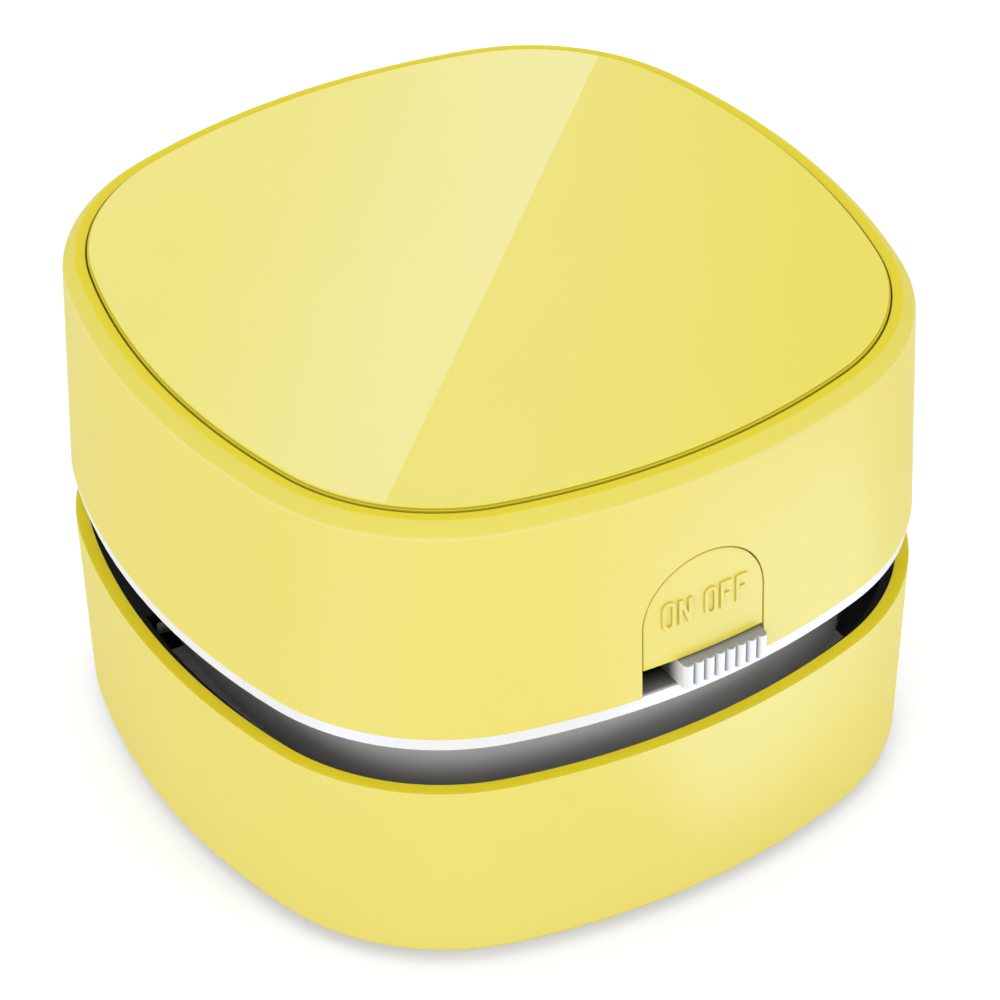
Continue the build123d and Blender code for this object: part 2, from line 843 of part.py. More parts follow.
with BuildPart() as deck_screws:
    with Locations(deck_screws_at):
        add(screw(deck_screw_length, False))
save(deck_screws, "deck_screws")

with BuildPart() as switch_body:
    add(
        box(
            (-switch_width / 2, -switch_back_y, deck_top),
            (switch_width / 2, -switch_inner_y, deck_top + switch_height),
        )
    )
    add(
        box(
            (-lever_sweep, -switch_back_y, lever_base - fit_gap),
            (lever_sweep, -switch_back_y + switch_depth / 2, lever_base + lever_height + fit_gap),
        ),
        mode=Mode.SUBTRACT,
    )
save(switch_body, "switch_body")

with BuildPart() as switch_pins:
    for place in (-pin_pitch, 0, pin_pitch):
        with Locations((place, -switch_inner_y + pin_depth / 2, deck_top + switch_height / 2)):
            Box(pin_width, pin_depth, pin_height)
save(switch_pins, "switch_pins")

with BuildPart() as switch_lever:
    add(
        box(
            (slider_centre - lever_width / 2, -slot_back_y - slider_gap - lever_bite, lever_base),
            (slider_centre + lever_width / 2, -switch_back_y + switch_depth / 3, lever_base + lever_height),
        )
    )
save(switch_lever, "switch_lever")

with BuildPart() as slider:
    slider_back = -slot_back_y - slider_gap
    rib_line = -body_half - slider_proud + slider_rib_pitch / 2
    with BuildSketch(Plane.XY.offset(slider_base)):
        with Locations((slider_centre, (slider_back + rib_line) / 2)):
            Rectangle(slider_width, slider_back - rib_line)
        with Locations((slider_centre, rib_line)):
            with GridLocations(slider_rib_pitch, 1, slider_ribs, 1):
                Circle(slider_rib_pitch / 2)
    extrude(amount=slider_height)
    with Locations((slider_centre, slider_back, lever_base + lever_height / 2)):
        Box(
            lever_width + 2 * screw_gap,
            2 * (lever_bite + screw_gap),
            lever_height + 2 * screw_gap,
            mode=Mode.SUBTRACT,
        )
save(slider, "slider")

slot_half = tab_half_width
with BuildPart() as slot_piece:
    floor_outline = front_rectangle(-slot_half, slot_half, 0, slot_floor)
    add(wall_patch(floor_outline, slot_setback, slot_depth + slot_back_wall / 2))
    add(
        box(
            (-slot_back_width / 2, -slot_back_y, deck_top),
            (slot_back_width / 2, -slot_back_y + slot_back_wall, deck_top + tab_base - fit_gap),
        )
    )
    add(
        box(
            (-lever_sweep, -slot_back_y, lever_base - fit_gap),
            (lever_sweep, -slot_back_y + slot_back_wall, lever_base + lever_height + fit_gap),
        ),
        mode=Mode.SUBTRACT,
    )
save(slot_piece, "slot_piece")

# ---- Push tab -------------------------------------------------------------------


def letter(strokes):
    # Strokes are corner lists on a unit square, drawn at the letters' size
    with BuildSketch() as shape:
        for stroke in strokes:
            with BuildLine():
                Polyline(*[(u * letter_width, v * letter_height) for u, v in stroke])
            trace(line_width=letter_stroke)
    return shape.sketch


letter_o = [[(0.3, 0), (0.7, 0), (1, 0.15), (1, 0.85), (0.7, 1), (0.3, 1), (0, 0.85), (0, 0.15), (0.3, 0)]]
letter_n = [[(0, 0), (0, 1), (1, 0), (1, 1)]]
letter_f = [[(0, 0), (0, 1), (1, 1)], [(0, 0.52), (0.8, 0.52)]]
words = [(letter_o, 0), (letter_n, 1), (letter_o, 2.6), (letter_f, 3.6), (letter_f, 4.6)]
words_width = words[-1][1] * letter_pitch + letter_width
with BuildSketch(Plane.XZ) as lettering:
    for shape, column in words:
        corner = (column * letter_pitch - words_width / 2, deck_top + letter_centre - letter_height / 2)
        with Locations(corner):
            add(letter(shape))

lug_low = catch_base + catch_height + free_gap
with BuildPart() as push_tab:
    add(wall_patch(arch(tab_half_width, tab_base, tab_top), 0, tab_back))
    add(wall_patch(arch(tab_half_width + tab_lap, tab_base, tab_top + tab_lap), skirt_inset, tab_back))
    lug_end = tab_half_width + tab_lap / 2 + tab_lug_width
    lug_outline = front_rectangle(-lug_end, lug_end, lug_low, lug_low + tab_lug_height)
    add(wall_patch(lug_outline, skirt_inset, tab_back))
    add(wall_patch(lettering.sketch, -letter_relief, letter_relief))
    post_tip = switch_back_y - free_gap - tab_post_head * 2
    with Locations((0, -(tab_back_y + tab_flange / 2), deck_top + tab_post_height)):
        post_length = tab_back_y + tab_flange / 2 - post_tip
        Cylinder(tab_post_radius, post_length, rotation=(-90, 0, 0), align=stand)
    with Locations((0, -post_tip, deck_top + tab_post_height)):
        Cylinder(tab_post_radius + tab_post_head, 2 * tab_post_head, rotation=(90, 0, 0), align=stand)
save(push_tab, "push_tab")

with BuildPart() as tab_spring:
    spring_foot = (0, -tab_back_y + fit_gap, deck_top + tab_post_height)
    tab_coil_radius = tab_post_radius + tab_spring_wire / 2 + free_gap
    add(coil(tab_coil_radius, tab_spring_wire, spring_turns, spring_foot, tab_spring_room - 2 * fit_gap))
save(tab_spring, "tab_spring")

# ---- Wires ----------------------------------------------------------------------

pin_y = -switch_inner_y + pin_depth / 2
pin_z = deck_top + switch_height / 2
tag_y = wire_radius + 2 * screw_gap - tag_end
tag_z = tag_base + contact_thickness / 2
tag_side = cell_place - tag_width / 2
pin_side = pin_pitch + pin_width / 2
terminal_y = terminal_end - wire_radius
channel_x = (motor_flats / 2 + fit_gap + socket_wall + cell_place - cell_radius) / 2

with BuildPart() as wire_red:
    add(wire([
        (tag_side, tag_y, tag_z),
        (tag_side - wire_lead, tag_y, tag_z),
        (pin_side + wire_run, pin_y, pin_z),
        (pin_side, pin_y, pin_z),
    ]))
save(wire_red, "wire_red")

with BuildPart() as wire_link:
    add(wire([
        (-pin_side, pin_y, pin_z),
        (-pin_side - wire_run, pin_y, pin_z),
        (-pin_side - wire_run, -terminal_end - wire_turn, terminal_z - wire_run),
        (-terminal_width / 2 - wire_turn, -terminal_y, terminal_z),
        (-terminal_width / 2, -terminal_y, terminal_z),
    ]))
save(wire_link, "wire_link")

with BuildPart() as wire_black:
    add(wire([
        (-tag_side, tag_y, tag_z),
        (-channel_x, tag_y, tag_z),
        (-channel_x, terminal_y / 2, tag_z + wire_run),
        (wire_turn - channel_x, terminal_end + wire_bend, terminal_z),
        (-terminal_width / 2 - wire_turn, terminal_y, terminal_z),
        (-terminal_width / 2, terminal_y, terminal_z),
    ]))
save(wire_black, "wire_black")

# ---- Cover ----------------------------------------------------------------------

with BuildPart() as upper_shell:
    add(drafted_block(0, deck_top, cover_height))
    fillet(upper_shell.faces().sort_by(Axis.Z)[-1].edges(), cover_edge_fillet)
    add(drafted_block(cover_wall, deck_top, ceiling - deck_top), mode=Mode.SUBTRACT)
    add(level_block(panel_inset - panel_gap, panel_seat, panel_thickness), mode=Mode.SUBTRACT)
    extrude(arch(tab_half_width + fit_gap, -1, tab_top + fit_gap), amount=body_width, mode=Mode.SUBTRACT)
    for side in (-1, 1):
        near = side * catch_start
        far = side * (catch_start + catch_width)
        outline = front_rectangle(min(near, far), max(near, far), catch_base, catch_base + catch_height)
        add(wall_patch(outline, cover_wall / 2, cover_wall + catch_depth))
save(upper_shell, "upper_shell")

with BuildPart() as top_panel:
    add(level_block(panel_inset, panel_seat, panel_thickness))
    fillet(top_panel.faces().sort_by(Axis.Z)[-1].edges(), panel_edge)
save(top_panel, "top_panel")
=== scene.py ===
import json
import math

import bmesh
import bpy
import numpy as np
from mathutils import Matrix, Vector


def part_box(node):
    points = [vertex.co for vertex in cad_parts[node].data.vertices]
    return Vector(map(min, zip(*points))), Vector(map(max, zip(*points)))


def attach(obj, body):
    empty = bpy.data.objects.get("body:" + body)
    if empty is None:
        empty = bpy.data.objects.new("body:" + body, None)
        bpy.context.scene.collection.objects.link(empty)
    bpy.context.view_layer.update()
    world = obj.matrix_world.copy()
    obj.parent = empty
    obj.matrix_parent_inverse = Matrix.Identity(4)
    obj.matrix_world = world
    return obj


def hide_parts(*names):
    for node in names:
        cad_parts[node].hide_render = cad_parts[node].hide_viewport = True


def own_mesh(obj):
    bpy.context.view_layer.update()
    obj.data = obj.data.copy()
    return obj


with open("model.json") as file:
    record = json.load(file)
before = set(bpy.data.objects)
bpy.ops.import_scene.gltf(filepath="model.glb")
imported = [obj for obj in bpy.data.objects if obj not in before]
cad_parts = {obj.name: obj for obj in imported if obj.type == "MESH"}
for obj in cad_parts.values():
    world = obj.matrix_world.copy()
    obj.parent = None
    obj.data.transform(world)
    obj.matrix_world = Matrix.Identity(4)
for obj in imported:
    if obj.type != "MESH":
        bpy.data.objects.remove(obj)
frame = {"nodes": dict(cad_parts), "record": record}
scene = bpy.context.scene
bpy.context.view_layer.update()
mm = 0.001
nodeSlot = {part["node"]: part["material_slot"] for part in frame["record"]["subparts"]}
nodeBody = {}
for bodyName, members in frame["record"]["behaviour"]["bodies"].items():
    nodeBody.update(dict.fromkeys(members, bodyName))
print("frame loaded:", len(frame["nodes"]), "nodes")


# The body's outline: four bowed sides joined by four round corners

outline = {"half": 42.5 * mm, "sideRadius": 79.4 * mm, "cornerRadius": 25.8 * mm,
           "draft": math.tan(math.radians(1.75)), "steps": 360}
quarter = math.pi / 2
arcGap = outline["sideRadius"] - outline["cornerRadius"]
sideReach = outline["half"] - outline["sideRadius"]  # from the middle to the centre of a side's arc
lean = math.asin(-sideReach / (math.sqrt(2) * arcGap))
swing = math.pi / 4 - lean  # half the angle that a side's arc covers
cornerReach = math.sqrt(2) * arcGap * math.sin(swing)
allTurns = np.linspace(0, 2 * math.pi, outline["steps"], endpoint=False) - quarter
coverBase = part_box("upper_shell")[0].z


def polar(reach, turn):
    return np.stack([reach * np.cos(turn), reach * np.sin(turn)], -1)


def outlinePoint(turn, inset, height):
    # The outline's normal points along turn. Eight fixed centres carry its arcs, and drawing it
    # inwards only shortens their radii: point = arc's centre + (radius - inset) * normal.
    turn, inset, height = np.broadcast_arrays(turn, inset, height)
    side = np.round(turn / quarter) * quarter
    corner = (np.floor(turn / quarter) + 0.5) * quarter
    onSide = np.abs(turn - side) <= swing
    centre = polar(np.where(onSide, sideReach, cornerReach), np.where(onSide, side, corner))
    radius = np.where(onSide, outline["sideRadius"], outline["cornerRadius"]) - inset
    return np.concatenate([centre + polar(radius, turn), height[..., None]], -1)


def outlineNormal(points):
    # Away from the centre of the arc whose sector holds the point: the nearest side's arc while the
    # angle seen from its centre stays within swing, else the corner's arc next to it
    side = np.round(np.arctan2(points[:, 1], points[:, 0]) / quarter) * quarter
    fromSide = points[:, :2] - polar(sideReach, side)
    off = np.arctan2(fromSide[:, 1], fromSide[:, 0]) - side
    off = (off + math.pi) % (2 * math.pi) - math.pi
    fromCorner = points[:, :2] - polar(cornerReach, side + np.sign(off) * quarter / 2)
    flat = np.where(np.abs(off)[:, None] <= swing, fromSide, fromCorner)
    return flat / np.linalg.norm(flat, axis=1, keepdims=True)


def frontTurn(across, inset):
    # The turn at which the front side's arc stands at that distance across: sin(turn) = across / radius
    return np.arcsin(across / (outline["sideRadius"] - inset)) - quarter


def wallPoint(across, height, depth):
    # A point behind the cover's front wall, in the plane grid (across, height) seen from the front
    across, height, depth = np.broadcast_arrays(across, height, depth)
    inset = depth + outline["draft"] * (height - coverBase)
    return outlinePoint(frontTurn(across, inset), inset, height)


# Mesh helpers


def quadCorners(rows, cols, wrap):
    # Corner numbers of a grid's quads; wrap joins the last column to the first
    across = cols if wrap else cols - 1
    row, col = np.meshgrid(np.arange(rows - 1), np.arange(across), indexing="ij")
    after = (col + 1) % cols
    corners = [row * cols + col, row * cols + after, (row + 1) * cols + after, (row + 1) * cols + col]
    return np.stack(corners, -1).reshape(-1, 4)


def weave(name, grids):
    # Each grid is (points, wrap, material number, kept quads); the last two may be left out. Shared
    # edges are welded, and the closed skin gets its normals turned outwards.
    points, corners, numbers, first = [], [], [], 0
    for grid, wrap, *rest in grids:
        number, kept = rest + [0, None][len(rest):]
        quads = quadCorners(*grid.shape[:2], wrap)
        if kept is not None:
            quads = quads[kept.reshape(-1)]
        points.append(grid.reshape(-1, 3))
        corners.append(quads + first)
        numbers.append(np.full(len(quads), number))
        first += len(points[-1])
    mesh = bpy.data.meshes.new(name)
    mesh.from_pydata(np.concatenate(points).tolist(), [], np.concatenate(corners).tolist())
    mesh.polygons.foreach_set("material_index", np.concatenate(numbers).astype(np.int32))
    return weld(mesh, 2e-6, True)


def weld(mesh, reach, outwards=False):
    work = bmesh.new()
    work.from_mesh(mesh)
    bmesh.ops.remove_doubles(work, verts=work.verts, dist=reach)
    if outwards:
        bmesh.ops.delete(work, geom=[v for v in work.verts if not v.link_faces], context="VERTS")
        bmesh.ops.recalc_face_normals(work, faces=work.faces)
    work.to_mesh(mesh)
    work.free()
    mesh.shade_smooth()
    return mesh


def addObject(name, data):
    made = bpy.data.objects.new(name, data)
    scene.collection.objects.link(made)
    return made


def addPiece(name, mesh, node, *materials):
    # A piece that stands for a node: it rides on the node's body, takes the given materials and hides the
    # node
    piece = addObject(name, mesh)
    for place, material in enumerate(materials):  # clearing the slots would reset the faces' numbers
        if place < len(mesh.materials):
            mesh.materials[place] = material
        else:
            mesh.materials.append(material)
    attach(piece, nodeBody[node])
    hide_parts(node)
    return piece


def softenEdges(piece, width, angle):
    bevel = piece.modifiers.new("edges", "BEVEL")
    bevel.width = width
    bevel.segments = 2
    bevel.limit_method = "ANGLE"
    bevel.angle_limit = math.radians(angle)
    bevel.harden_normals = True
    bevel.use_clamp_overlap = True


def flattenShading(piece, angle):
    # Hard edges stay hard, and large flat faces keep their own normal beside small curved ones
    piece.data.set_sharp_from_angle(angle=math.radians(angle))
    weights = piece.modifiers.new("weights", "WEIGHTED_NORMAL")
    weights.keep_sharp = True


def arc(centre, radius, start, end, steps):
    # Points (inset, height) of an arc: centre + radius * (-cos, sin) of an angle in degrees
    angle = np.radians(np.linspace(start, end, steps))
    return np.stack([centre[0] - radius * np.cos(angle), centre[1] + radius * np.sin(angle)], -1)


def carry(profile):
    # A profile of (inset, height) rows carried round the outline
    profile = np.asarray(profile)
    return outlinePoint(allTurns[None, :], profile[:, :1], profile[:, 1:])


def circle(turns, radius, height):
    return np.concatenate([polar(radius, turns), np.full((len(turns), 1), height)], -1)


def closeTowardsCentre(ring):
    # A flat lid: the ring's points shrink evenly to the middle
    share = np.linspace(1, 0, 8)[:, None, None]
    middle = ring.mean(axis=0)
    middle[:2] = 0
    return middle + (ring - middle)[None] * share


def wallBlock(left, right, base, height, front, back):
    # A block between two depths behind the wall: a sleeve of four faces and two lids
    loop = np.array([(left, base), (right, base), (right, base + height), (left, base + height)])
    sleeve = np.stack([wallPoint(loop[:, 0], loop[:, 1], depth) for depth in (front, back)])
    return [(sleeve, True)] + [(np.stack([ring[:2], ring[[3, 2]]]), False) for ring in sleeve]


# Materials


def startMaterial(name, color, roughness, specular=0.5, metallic=0.0):
    material = bpy.data.materials.new(name)
    material.use_nodes = True
    shader = material.node_tree.nodes["Principled BSDF"]
    feed(shader, {"Base Color": color, "Roughness": roughness, "Specular IOR Level": specular,
                  "Metallic": metallic})
    return material, material.node_tree, shader


def feed(node, inputs):
    # Every input takes a link, a colour or a plain value
    for key, value in inputs.items():
        socket = node.inputs[key]
        if isinstance(value, bpy.types.NodeSocket):
            node.id_data.links.new(value, socket)
        else:
            socket.default_value = (*value, 1) if socket.type == "RGBA" else value
    return node


def addNode(tree, kind, inputs=None, **settings):
    node = tree.nodes.new("ShaderNode" + kind)
    for key, value in settings.items():
        setattr(node, key, value)
    return feed(node, inputs or {})


def mathNode(tree, operation, first, second=0.0):
    return addNode(tree, "Math", {0: first, 1: second}, operation=operation).outputs["Value"]


def mixColors(tree, factor, first, second, blend="MIX"):
    # The first colour at factor 0, the second at factor 1
    inputs = {"Factor": factor, "A": first, "B": second}
    return addNode(tree, "Mix", inputs, data_type="RGBA", blend_type=blend).outputs["Result"]


def mapRange(tree, value, fromMin, fromMax, toMin=0.0, toMax=1.0, smooth=False):
    inputs = {"Value": value, "From Min": fromMin, "From Max": fromMax, "To Min": toMin, "To Max": toMax}
    kind = "SMOOTHSTEP" if smooth else "LINEAR"
    return addNode(tree, "MapRange", inputs, interpolation_type=kind).outputs["Result"]


def axesOf(tree, vector):
    split = addNode(tree, "SeparateXYZ", {"Vector": vector})
    return [split.outputs[axis] for axis in "XYZ"]


def objectAxes(tree):
    return axesOf(tree, addNode(tree, "TexCoord").outputs["Object"])


def normalHeight(tree):
    return axesOf(tree, addNode(tree, "NewGeometry").outputs["Normal"])[2]


def objectNoise(tree, scale, detail, stretch=(1, 1, 1)):
    place = addNode(tree, "TexCoord").outputs["Object"]
    mapped = addNode(tree, "Mapping", {"Vector": place, "Scale": stretch}).outputs["Vector"]
    noise = addNode(tree, "TexNoise", {"Vector": mapped, "Scale": scale, "Detail": detail})
    return noise.outputs["Fac"]


def noiseColors(tree, first, second, scale, stretch=(1, 1, 1)):
    ramp = addNode(tree, "ValToRGB", {"Fac": objectNoise(tree, scale, 4.0, stretch)})
    for stop, place, color in zip(ramp.color_ramp.elements, (0.3, 0.7), (first, second)):
        stop.position = place
        stop.color = (*color, 1)
    return ramp.outputs["Color"]


def finish(tree, shader, color, roughness, roughScale, grain, stretch=(1, 1, 1)):
    # The colour, a roughness that wanders between its two ends, and a bump of (scale, height)
    worn = mapRange(tree, objectNoise(tree, roughScale, 4.0, stretch), 0.3, 0.7, *roughness)
    feed(shader, {"Base Color": color, "Roughness": worn})
    if grain:
        bumps = objectNoise(tree, grain[0], 2.0, stretch)
        bump = addNode(tree, "Bump", {"Strength": 1.0, "Distance": grain[1], "Height": bumps})
        feed(shader, {"Normal": bump.outputs["Normal"]})


usualGrain = (1500.0, 0.006 * mm)


# Beside the wall's own colours, these are painted light: the shoulder, the rims' up, the groove and the
# letter colours are painted shade, binUp is a rim colour lifted against the shade under the cover, and gleam
# is a painted highlight.
yellow = {"wall": (0.79, 0.69, 0.158), "wallVaried": (0.80, 0.70, 0.173), "shoulder": (0.74, 0.65, 0.122),
          "gleam": (0.79, 0.71, 0.26), "up": (0.775, 0.655, 0.04), "binUp": (0.93, 0.76, 0.03),
          "groove": (0.45, 0.40, 0.028), "letter": (0.66, 0.52, 0.03), "shine": (0.14, 0.03),
          "roughness": (0.42, 0.48), "grain": (2200.0, 0.006 * mm), "footBand": 1.3 * mm, "footShare": 0.8}
facings = {"shoulder": (0.15, 0.6), "gleam": (0.1, 0.32, 0.55), "up": (0.965, 0.99)}  # the normal's heights


def makeShellYellow(name, up, foot=None):
    # Satin moulded plastic, with light and shade painted by the height of the normal: pale walls, a
    # shoulder in painted shade, a painted highlight at its bend, and flat rims that shine less, in a purer
    # yellow as painted shade. A foot height gives a band of painted shade just above it.
    material, tree, shader = startMaterial(name, yellow["wall"], 0.45, yellow["shine"][0])
    facing = normalHeight(tree)
    color = mixColors(tree, objectNoise(tree, 60.0, 4.0), yellow["wall"], yellow["wallVaried"])
    if foot is not None:
        height = objectAxes(tree)[2]
        # A band of painted shade just above the foot.
        band = mapRange(tree, height, foot, foot + yellow["footBand"], yellow["footShare"], 0.0, True)
        color = mixColors(tree, band, color, up)
    # The shoulder's deeper colour is painted shade.
    bent = mapRange(tree, facing, *facings["shoulder"], smooth=True)
    color = mixColors(tree, bent, color, yellow["shoulder"])
    # The gleam colour is a painted highlight along the bend from wall to shoulder.
    gleam = addNode(tree, "ValToRGB", {"Fac": facing})  # 1 where the wall turns into the shoulder
    for place, bright in zip(facings["gleam"], (0, 1, 0)):
        stop = gleam.color_ramp.elements.new(place)
        stop.color = (bright, bright, bright, 1)
    gleam.color_ramp.elements.remove(gleam.color_ramp.elements[-1])
    gleam.color_ramp.interpolation = "EASE"
    color = mixColors(tree, gleam.outputs["Color"], color, yellow["gleam"])
    # Flat rims take the up colour, a purer yellow: painted shade for a dark reflection from above.
    color = mixColors(tree, mapRange(tree, facing, *facings["up"]), color, up)
    feed(shader, {"Specular IOR Level": mapRange(tree, facing, 0.0, 1.0, *yellow["shine"])})
    finish(tree, shader, color, yellow["roughness"], 90.0, yellow["grain"])
    return material


panelFinish = {"first": (0.80, 0.70, 0.076), "second": (0.81, 0.71, 0.082), "roughness": (0.25, 0.32),
               "coat": {"Coat Weight": 1.0, "Coat Roughness": 0.004}}


def makePanelYellow():
    # Polished plate under a clear coat
    material, tree, shader = startMaterial("panelYellow", panelFinish["first"], 0.3, 0.0)
    color = noiseColors(tree, panelFinish["first"], panelFinish["second"], 35.0)
    finish(tree, shader, color, panelFinish["roughness"], 60.0, None)
    feed(shader, panelFinish["coat"])
    return material


# foot to head and pale are painted light on the neck, black is its painted shade; ledge is painted light on
# the liner.
neckFinish = {"foot": (0.43, 0.43, 0.44), "head": (0.70, 0.70, 0.72), "black": (0.11, 0.11, 0.115),
              "pale": (0.86, 0.86, 0.87), "paleShare": 0.6, "paleReach": (-20 * mm, 15 * mm),
              "rightEdge": 26.2 * mm, "leftEdge": 10.0 * mm, "leftSlant": 0.6, "slantHeight": 22.0 * mm,
              "ledge": (0.30, 0.30, 0.31), "ledgeEdge": 6.5 * mm, "ledgeReach": 0.3 * mm}


def makeNeckGrey():
    # Satin grey ring, painted paler towards its top and its right: painted light. Its exhaust side is
    # black as painted shade: right of an upright edge, and behind a slanted edge on the left.
    low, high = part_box("neck_ring")
    material, tree, shader = startMaterial("neckGrey", neckFinish["foot"], 0.35, 0.4)
    x, y, z = objectAxes(tree)
    # Paler towards the top: painted light.
    color = mixColors(tree, mapRange(tree, z, low.z, high.z), neckFinish["foot"], neckFinish["head"])
    # Paler towards the right: painted light.
    across = mapRange(tree, x, *neckFinish["paleReach"], 0.0, neckFinish["paleShare"])
    color = mixColors(tree, across, color, neckFinish["pale"])
    # Black on the exhaust side: painted shade, right of an upright edge and behind a slanted one on the left.
    rise = mathNode(tree, "SUBTRACT", z, neckFinish["slantHeight"])
    back = mathNode(tree, "SUBTRACT", y, mathNode(tree, "MULTIPLY", rise, neckFinish["leftSlant"]))
    exhaustShade = mathNode(tree, "MAXIMUM", mathNode(tree, "GREATER_THAN", back, neckFinish["leftEdge"]),
                       mathNode(tree, "GREATER_THAN", x, neckFinish["rightEdge"]))
    color = mixColors(tree, exhaustShade, color, neckFinish["black"])
    finish(tree, shader, color, (0.3, 0.38), 120.0, (1500.0, 0.003 * mm))
    return material


def makeLinerBlack():
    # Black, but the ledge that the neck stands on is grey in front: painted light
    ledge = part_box("neck_gasket")[0].z
    material, tree, shader = startMaterial("linerBlack", (0.008, 0.008, 0.009), 0.6, 0.15)
    black = noiseColors(tree, (0.007, 0.007, 0.008), (0.010, 0.010, 0.011), 80.0)
    x, y, z = objectAxes(tree)
    # A grey band along the ledge in front: painted light.
    off = mathNode(tree, "ABSOLUTE", mathNode(tree, "SUBTRACT", z, ledge))
    front = mathNode(tree, "LESS_THAN", off, neckFinish["ledgeReach"])
    for axis, edge in ((y, neckFinish["ledgeEdge"]), (x, neckFinish["rightEdge"])):
        front = mathNode(tree, "MULTIPLY", front, mathNode(tree, "LESS_THAN", axis, edge))
    finish(tree, shader, mixColors(tree, front, black, neckFinish["ledge"]), (0.6, 0.7), 120.0, usualGrain)
    return material


slider = {"ribs": 8, "ribSteps": 14, "edge": 0.16 * mm}
# The grey of the grooves, the top and the deep colour are painted shade.
sliderFinish = {"white": (0.80, 0.80, 0.805), "groove": (0.46, 0.46, 0.47), "top": (0.31, 0.315, 0.36),
                "deep": (0.10, 0.10, 0.105), "grooveReach": 0.26, "plainReach": 0.4, "upward": (0.5, 0.95),
                "deepReach": (1.0 * mm, 3.2 * mm)}


def makeSliderWhite():
    # White ribs with painted shade: grey grooves between them, a grey top for the tab's shadow, and darker
    # towards the back
    low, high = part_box("slider")
    pitch = (high.x - low.x) / slider["ribs"]
    material, tree, shader = startMaterial("sliderWhite", sliderFinish["white"], 0.38, 0.4)
    x, y, z = objectAxes(tree)
    start = mathNode(tree, "SUBTRACT", x, low.x)
    wave = mathNode(tree, "PINGPONG", start, pitch / 2)
    # Painted shade in the grooves between the ribs, but not at the plain left end.
    groove = mapRange(tree, wave, 0.0, sliderFinish["grooveReach"] * pitch, 1.0, 0.0, True)
    inner = mathNode(tree, "GREATER_THAN", start, sliderFinish["plainReach"] * pitch)
    grooveShaded = mathNode(tree, "MULTIPLY", groove, inner)
    color = mixColors(tree, grooveShaded, sliderFinish["white"], sliderFinish["groove"])
    # A grey top: painted shadow under the tab.
    upward = mapRange(tree, normalHeight(tree), *sliderFinish["upward"])
    color = mixColors(tree, upward, color, sliderFinish["top"])
    # Darker towards the back: painted shade.
    near, far = low.y + np.array(sliderFinish["deepReach"])
    color = mixColors(tree, mapRange(tree, y, near, far), color, sliderFinish["deep"])
    finish(tree, shader, color, (0.34, 0.42), 120.0, (1500.0, 0.004 * mm))
    return material


# The deep colour is painted shade towards the back.
slotFinish = {"first": (0.21, 0.21, 0.215), "second": (0.24, 0.24, 0.245), "deep": (0.004, 0.004, 0.004),
              "deepReach": (0.4 * mm, 3.2 * mm), "roughness": (0.2, 0.3)}


def makeSlotGrey():
    # Grey at the window, painted shade to almost black behind it
    material, tree, shader = startMaterial("slotGrey", slotFinish["first"], 0.25, 0.4)
    grey = noiseColors(tree, slotFinish["first"], slotFinish["second"], 80.0)
    near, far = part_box("slot_piece")[0].y + np.array(slotFinish["deepReach"])
    # Painted shade: darker towards the back.
    color = mixColors(tree, mapRange(tree, objectAxes(tree)[1], near, far), grey, slotFinish["deep"])
    finish(tree, shader, color, slotFinish["roughness"], 120.0, usualGrain)
    return material


def makePlastic(name, first, second, roughness, grain=usualGrain):
    material, tree, shader = startMaterial(name, first, roughness[0])
    finish(tree, shader, noiseColors(tree, first, second, 80.0), roughness, 120.0, grain)
    return material


def makeMetal(name, first, second, roughness, stretch=(1, 1, 1)):
    material, tree, shader = startMaterial(name, first, roughness[0], metallic=1.0)
    color = noiseColors(tree, first, second, 150.0, stretch)
    finish(tree, shader, color, roughness, 400.0, (900.0, 0.004 * mm), stretch)
    return material


def makeCloth(name, color, thread):
    # Plain weave: two crossed waves lift the threads
    material, tree, shader = startMaterial(name, color, 0.85, 0.2)
    turn = 2 * math.pi / thread
    waves = [mathNode(tree, "SINE", mathNode(tree, "MULTIPLY", axis, turn)) for axis in objectAxes(tree)[:2]]
    cross = mathNode(tree, "MULTIPLY", *waves)
    shade = mapRange(tree, cross, -1.0, 1.0, 0.55, 1.0)
    tint = mixColors(tree, 1.0, color, shade, "MULTIPLY")
    bump = addNode(tree, "Bump", {"Strength": 0.6, "Distance": 0.1 * mm, "Height": cross})
    feed(shader, {"Base Color": tint, "Normal": bump.outputs["Normal"]})
    return material


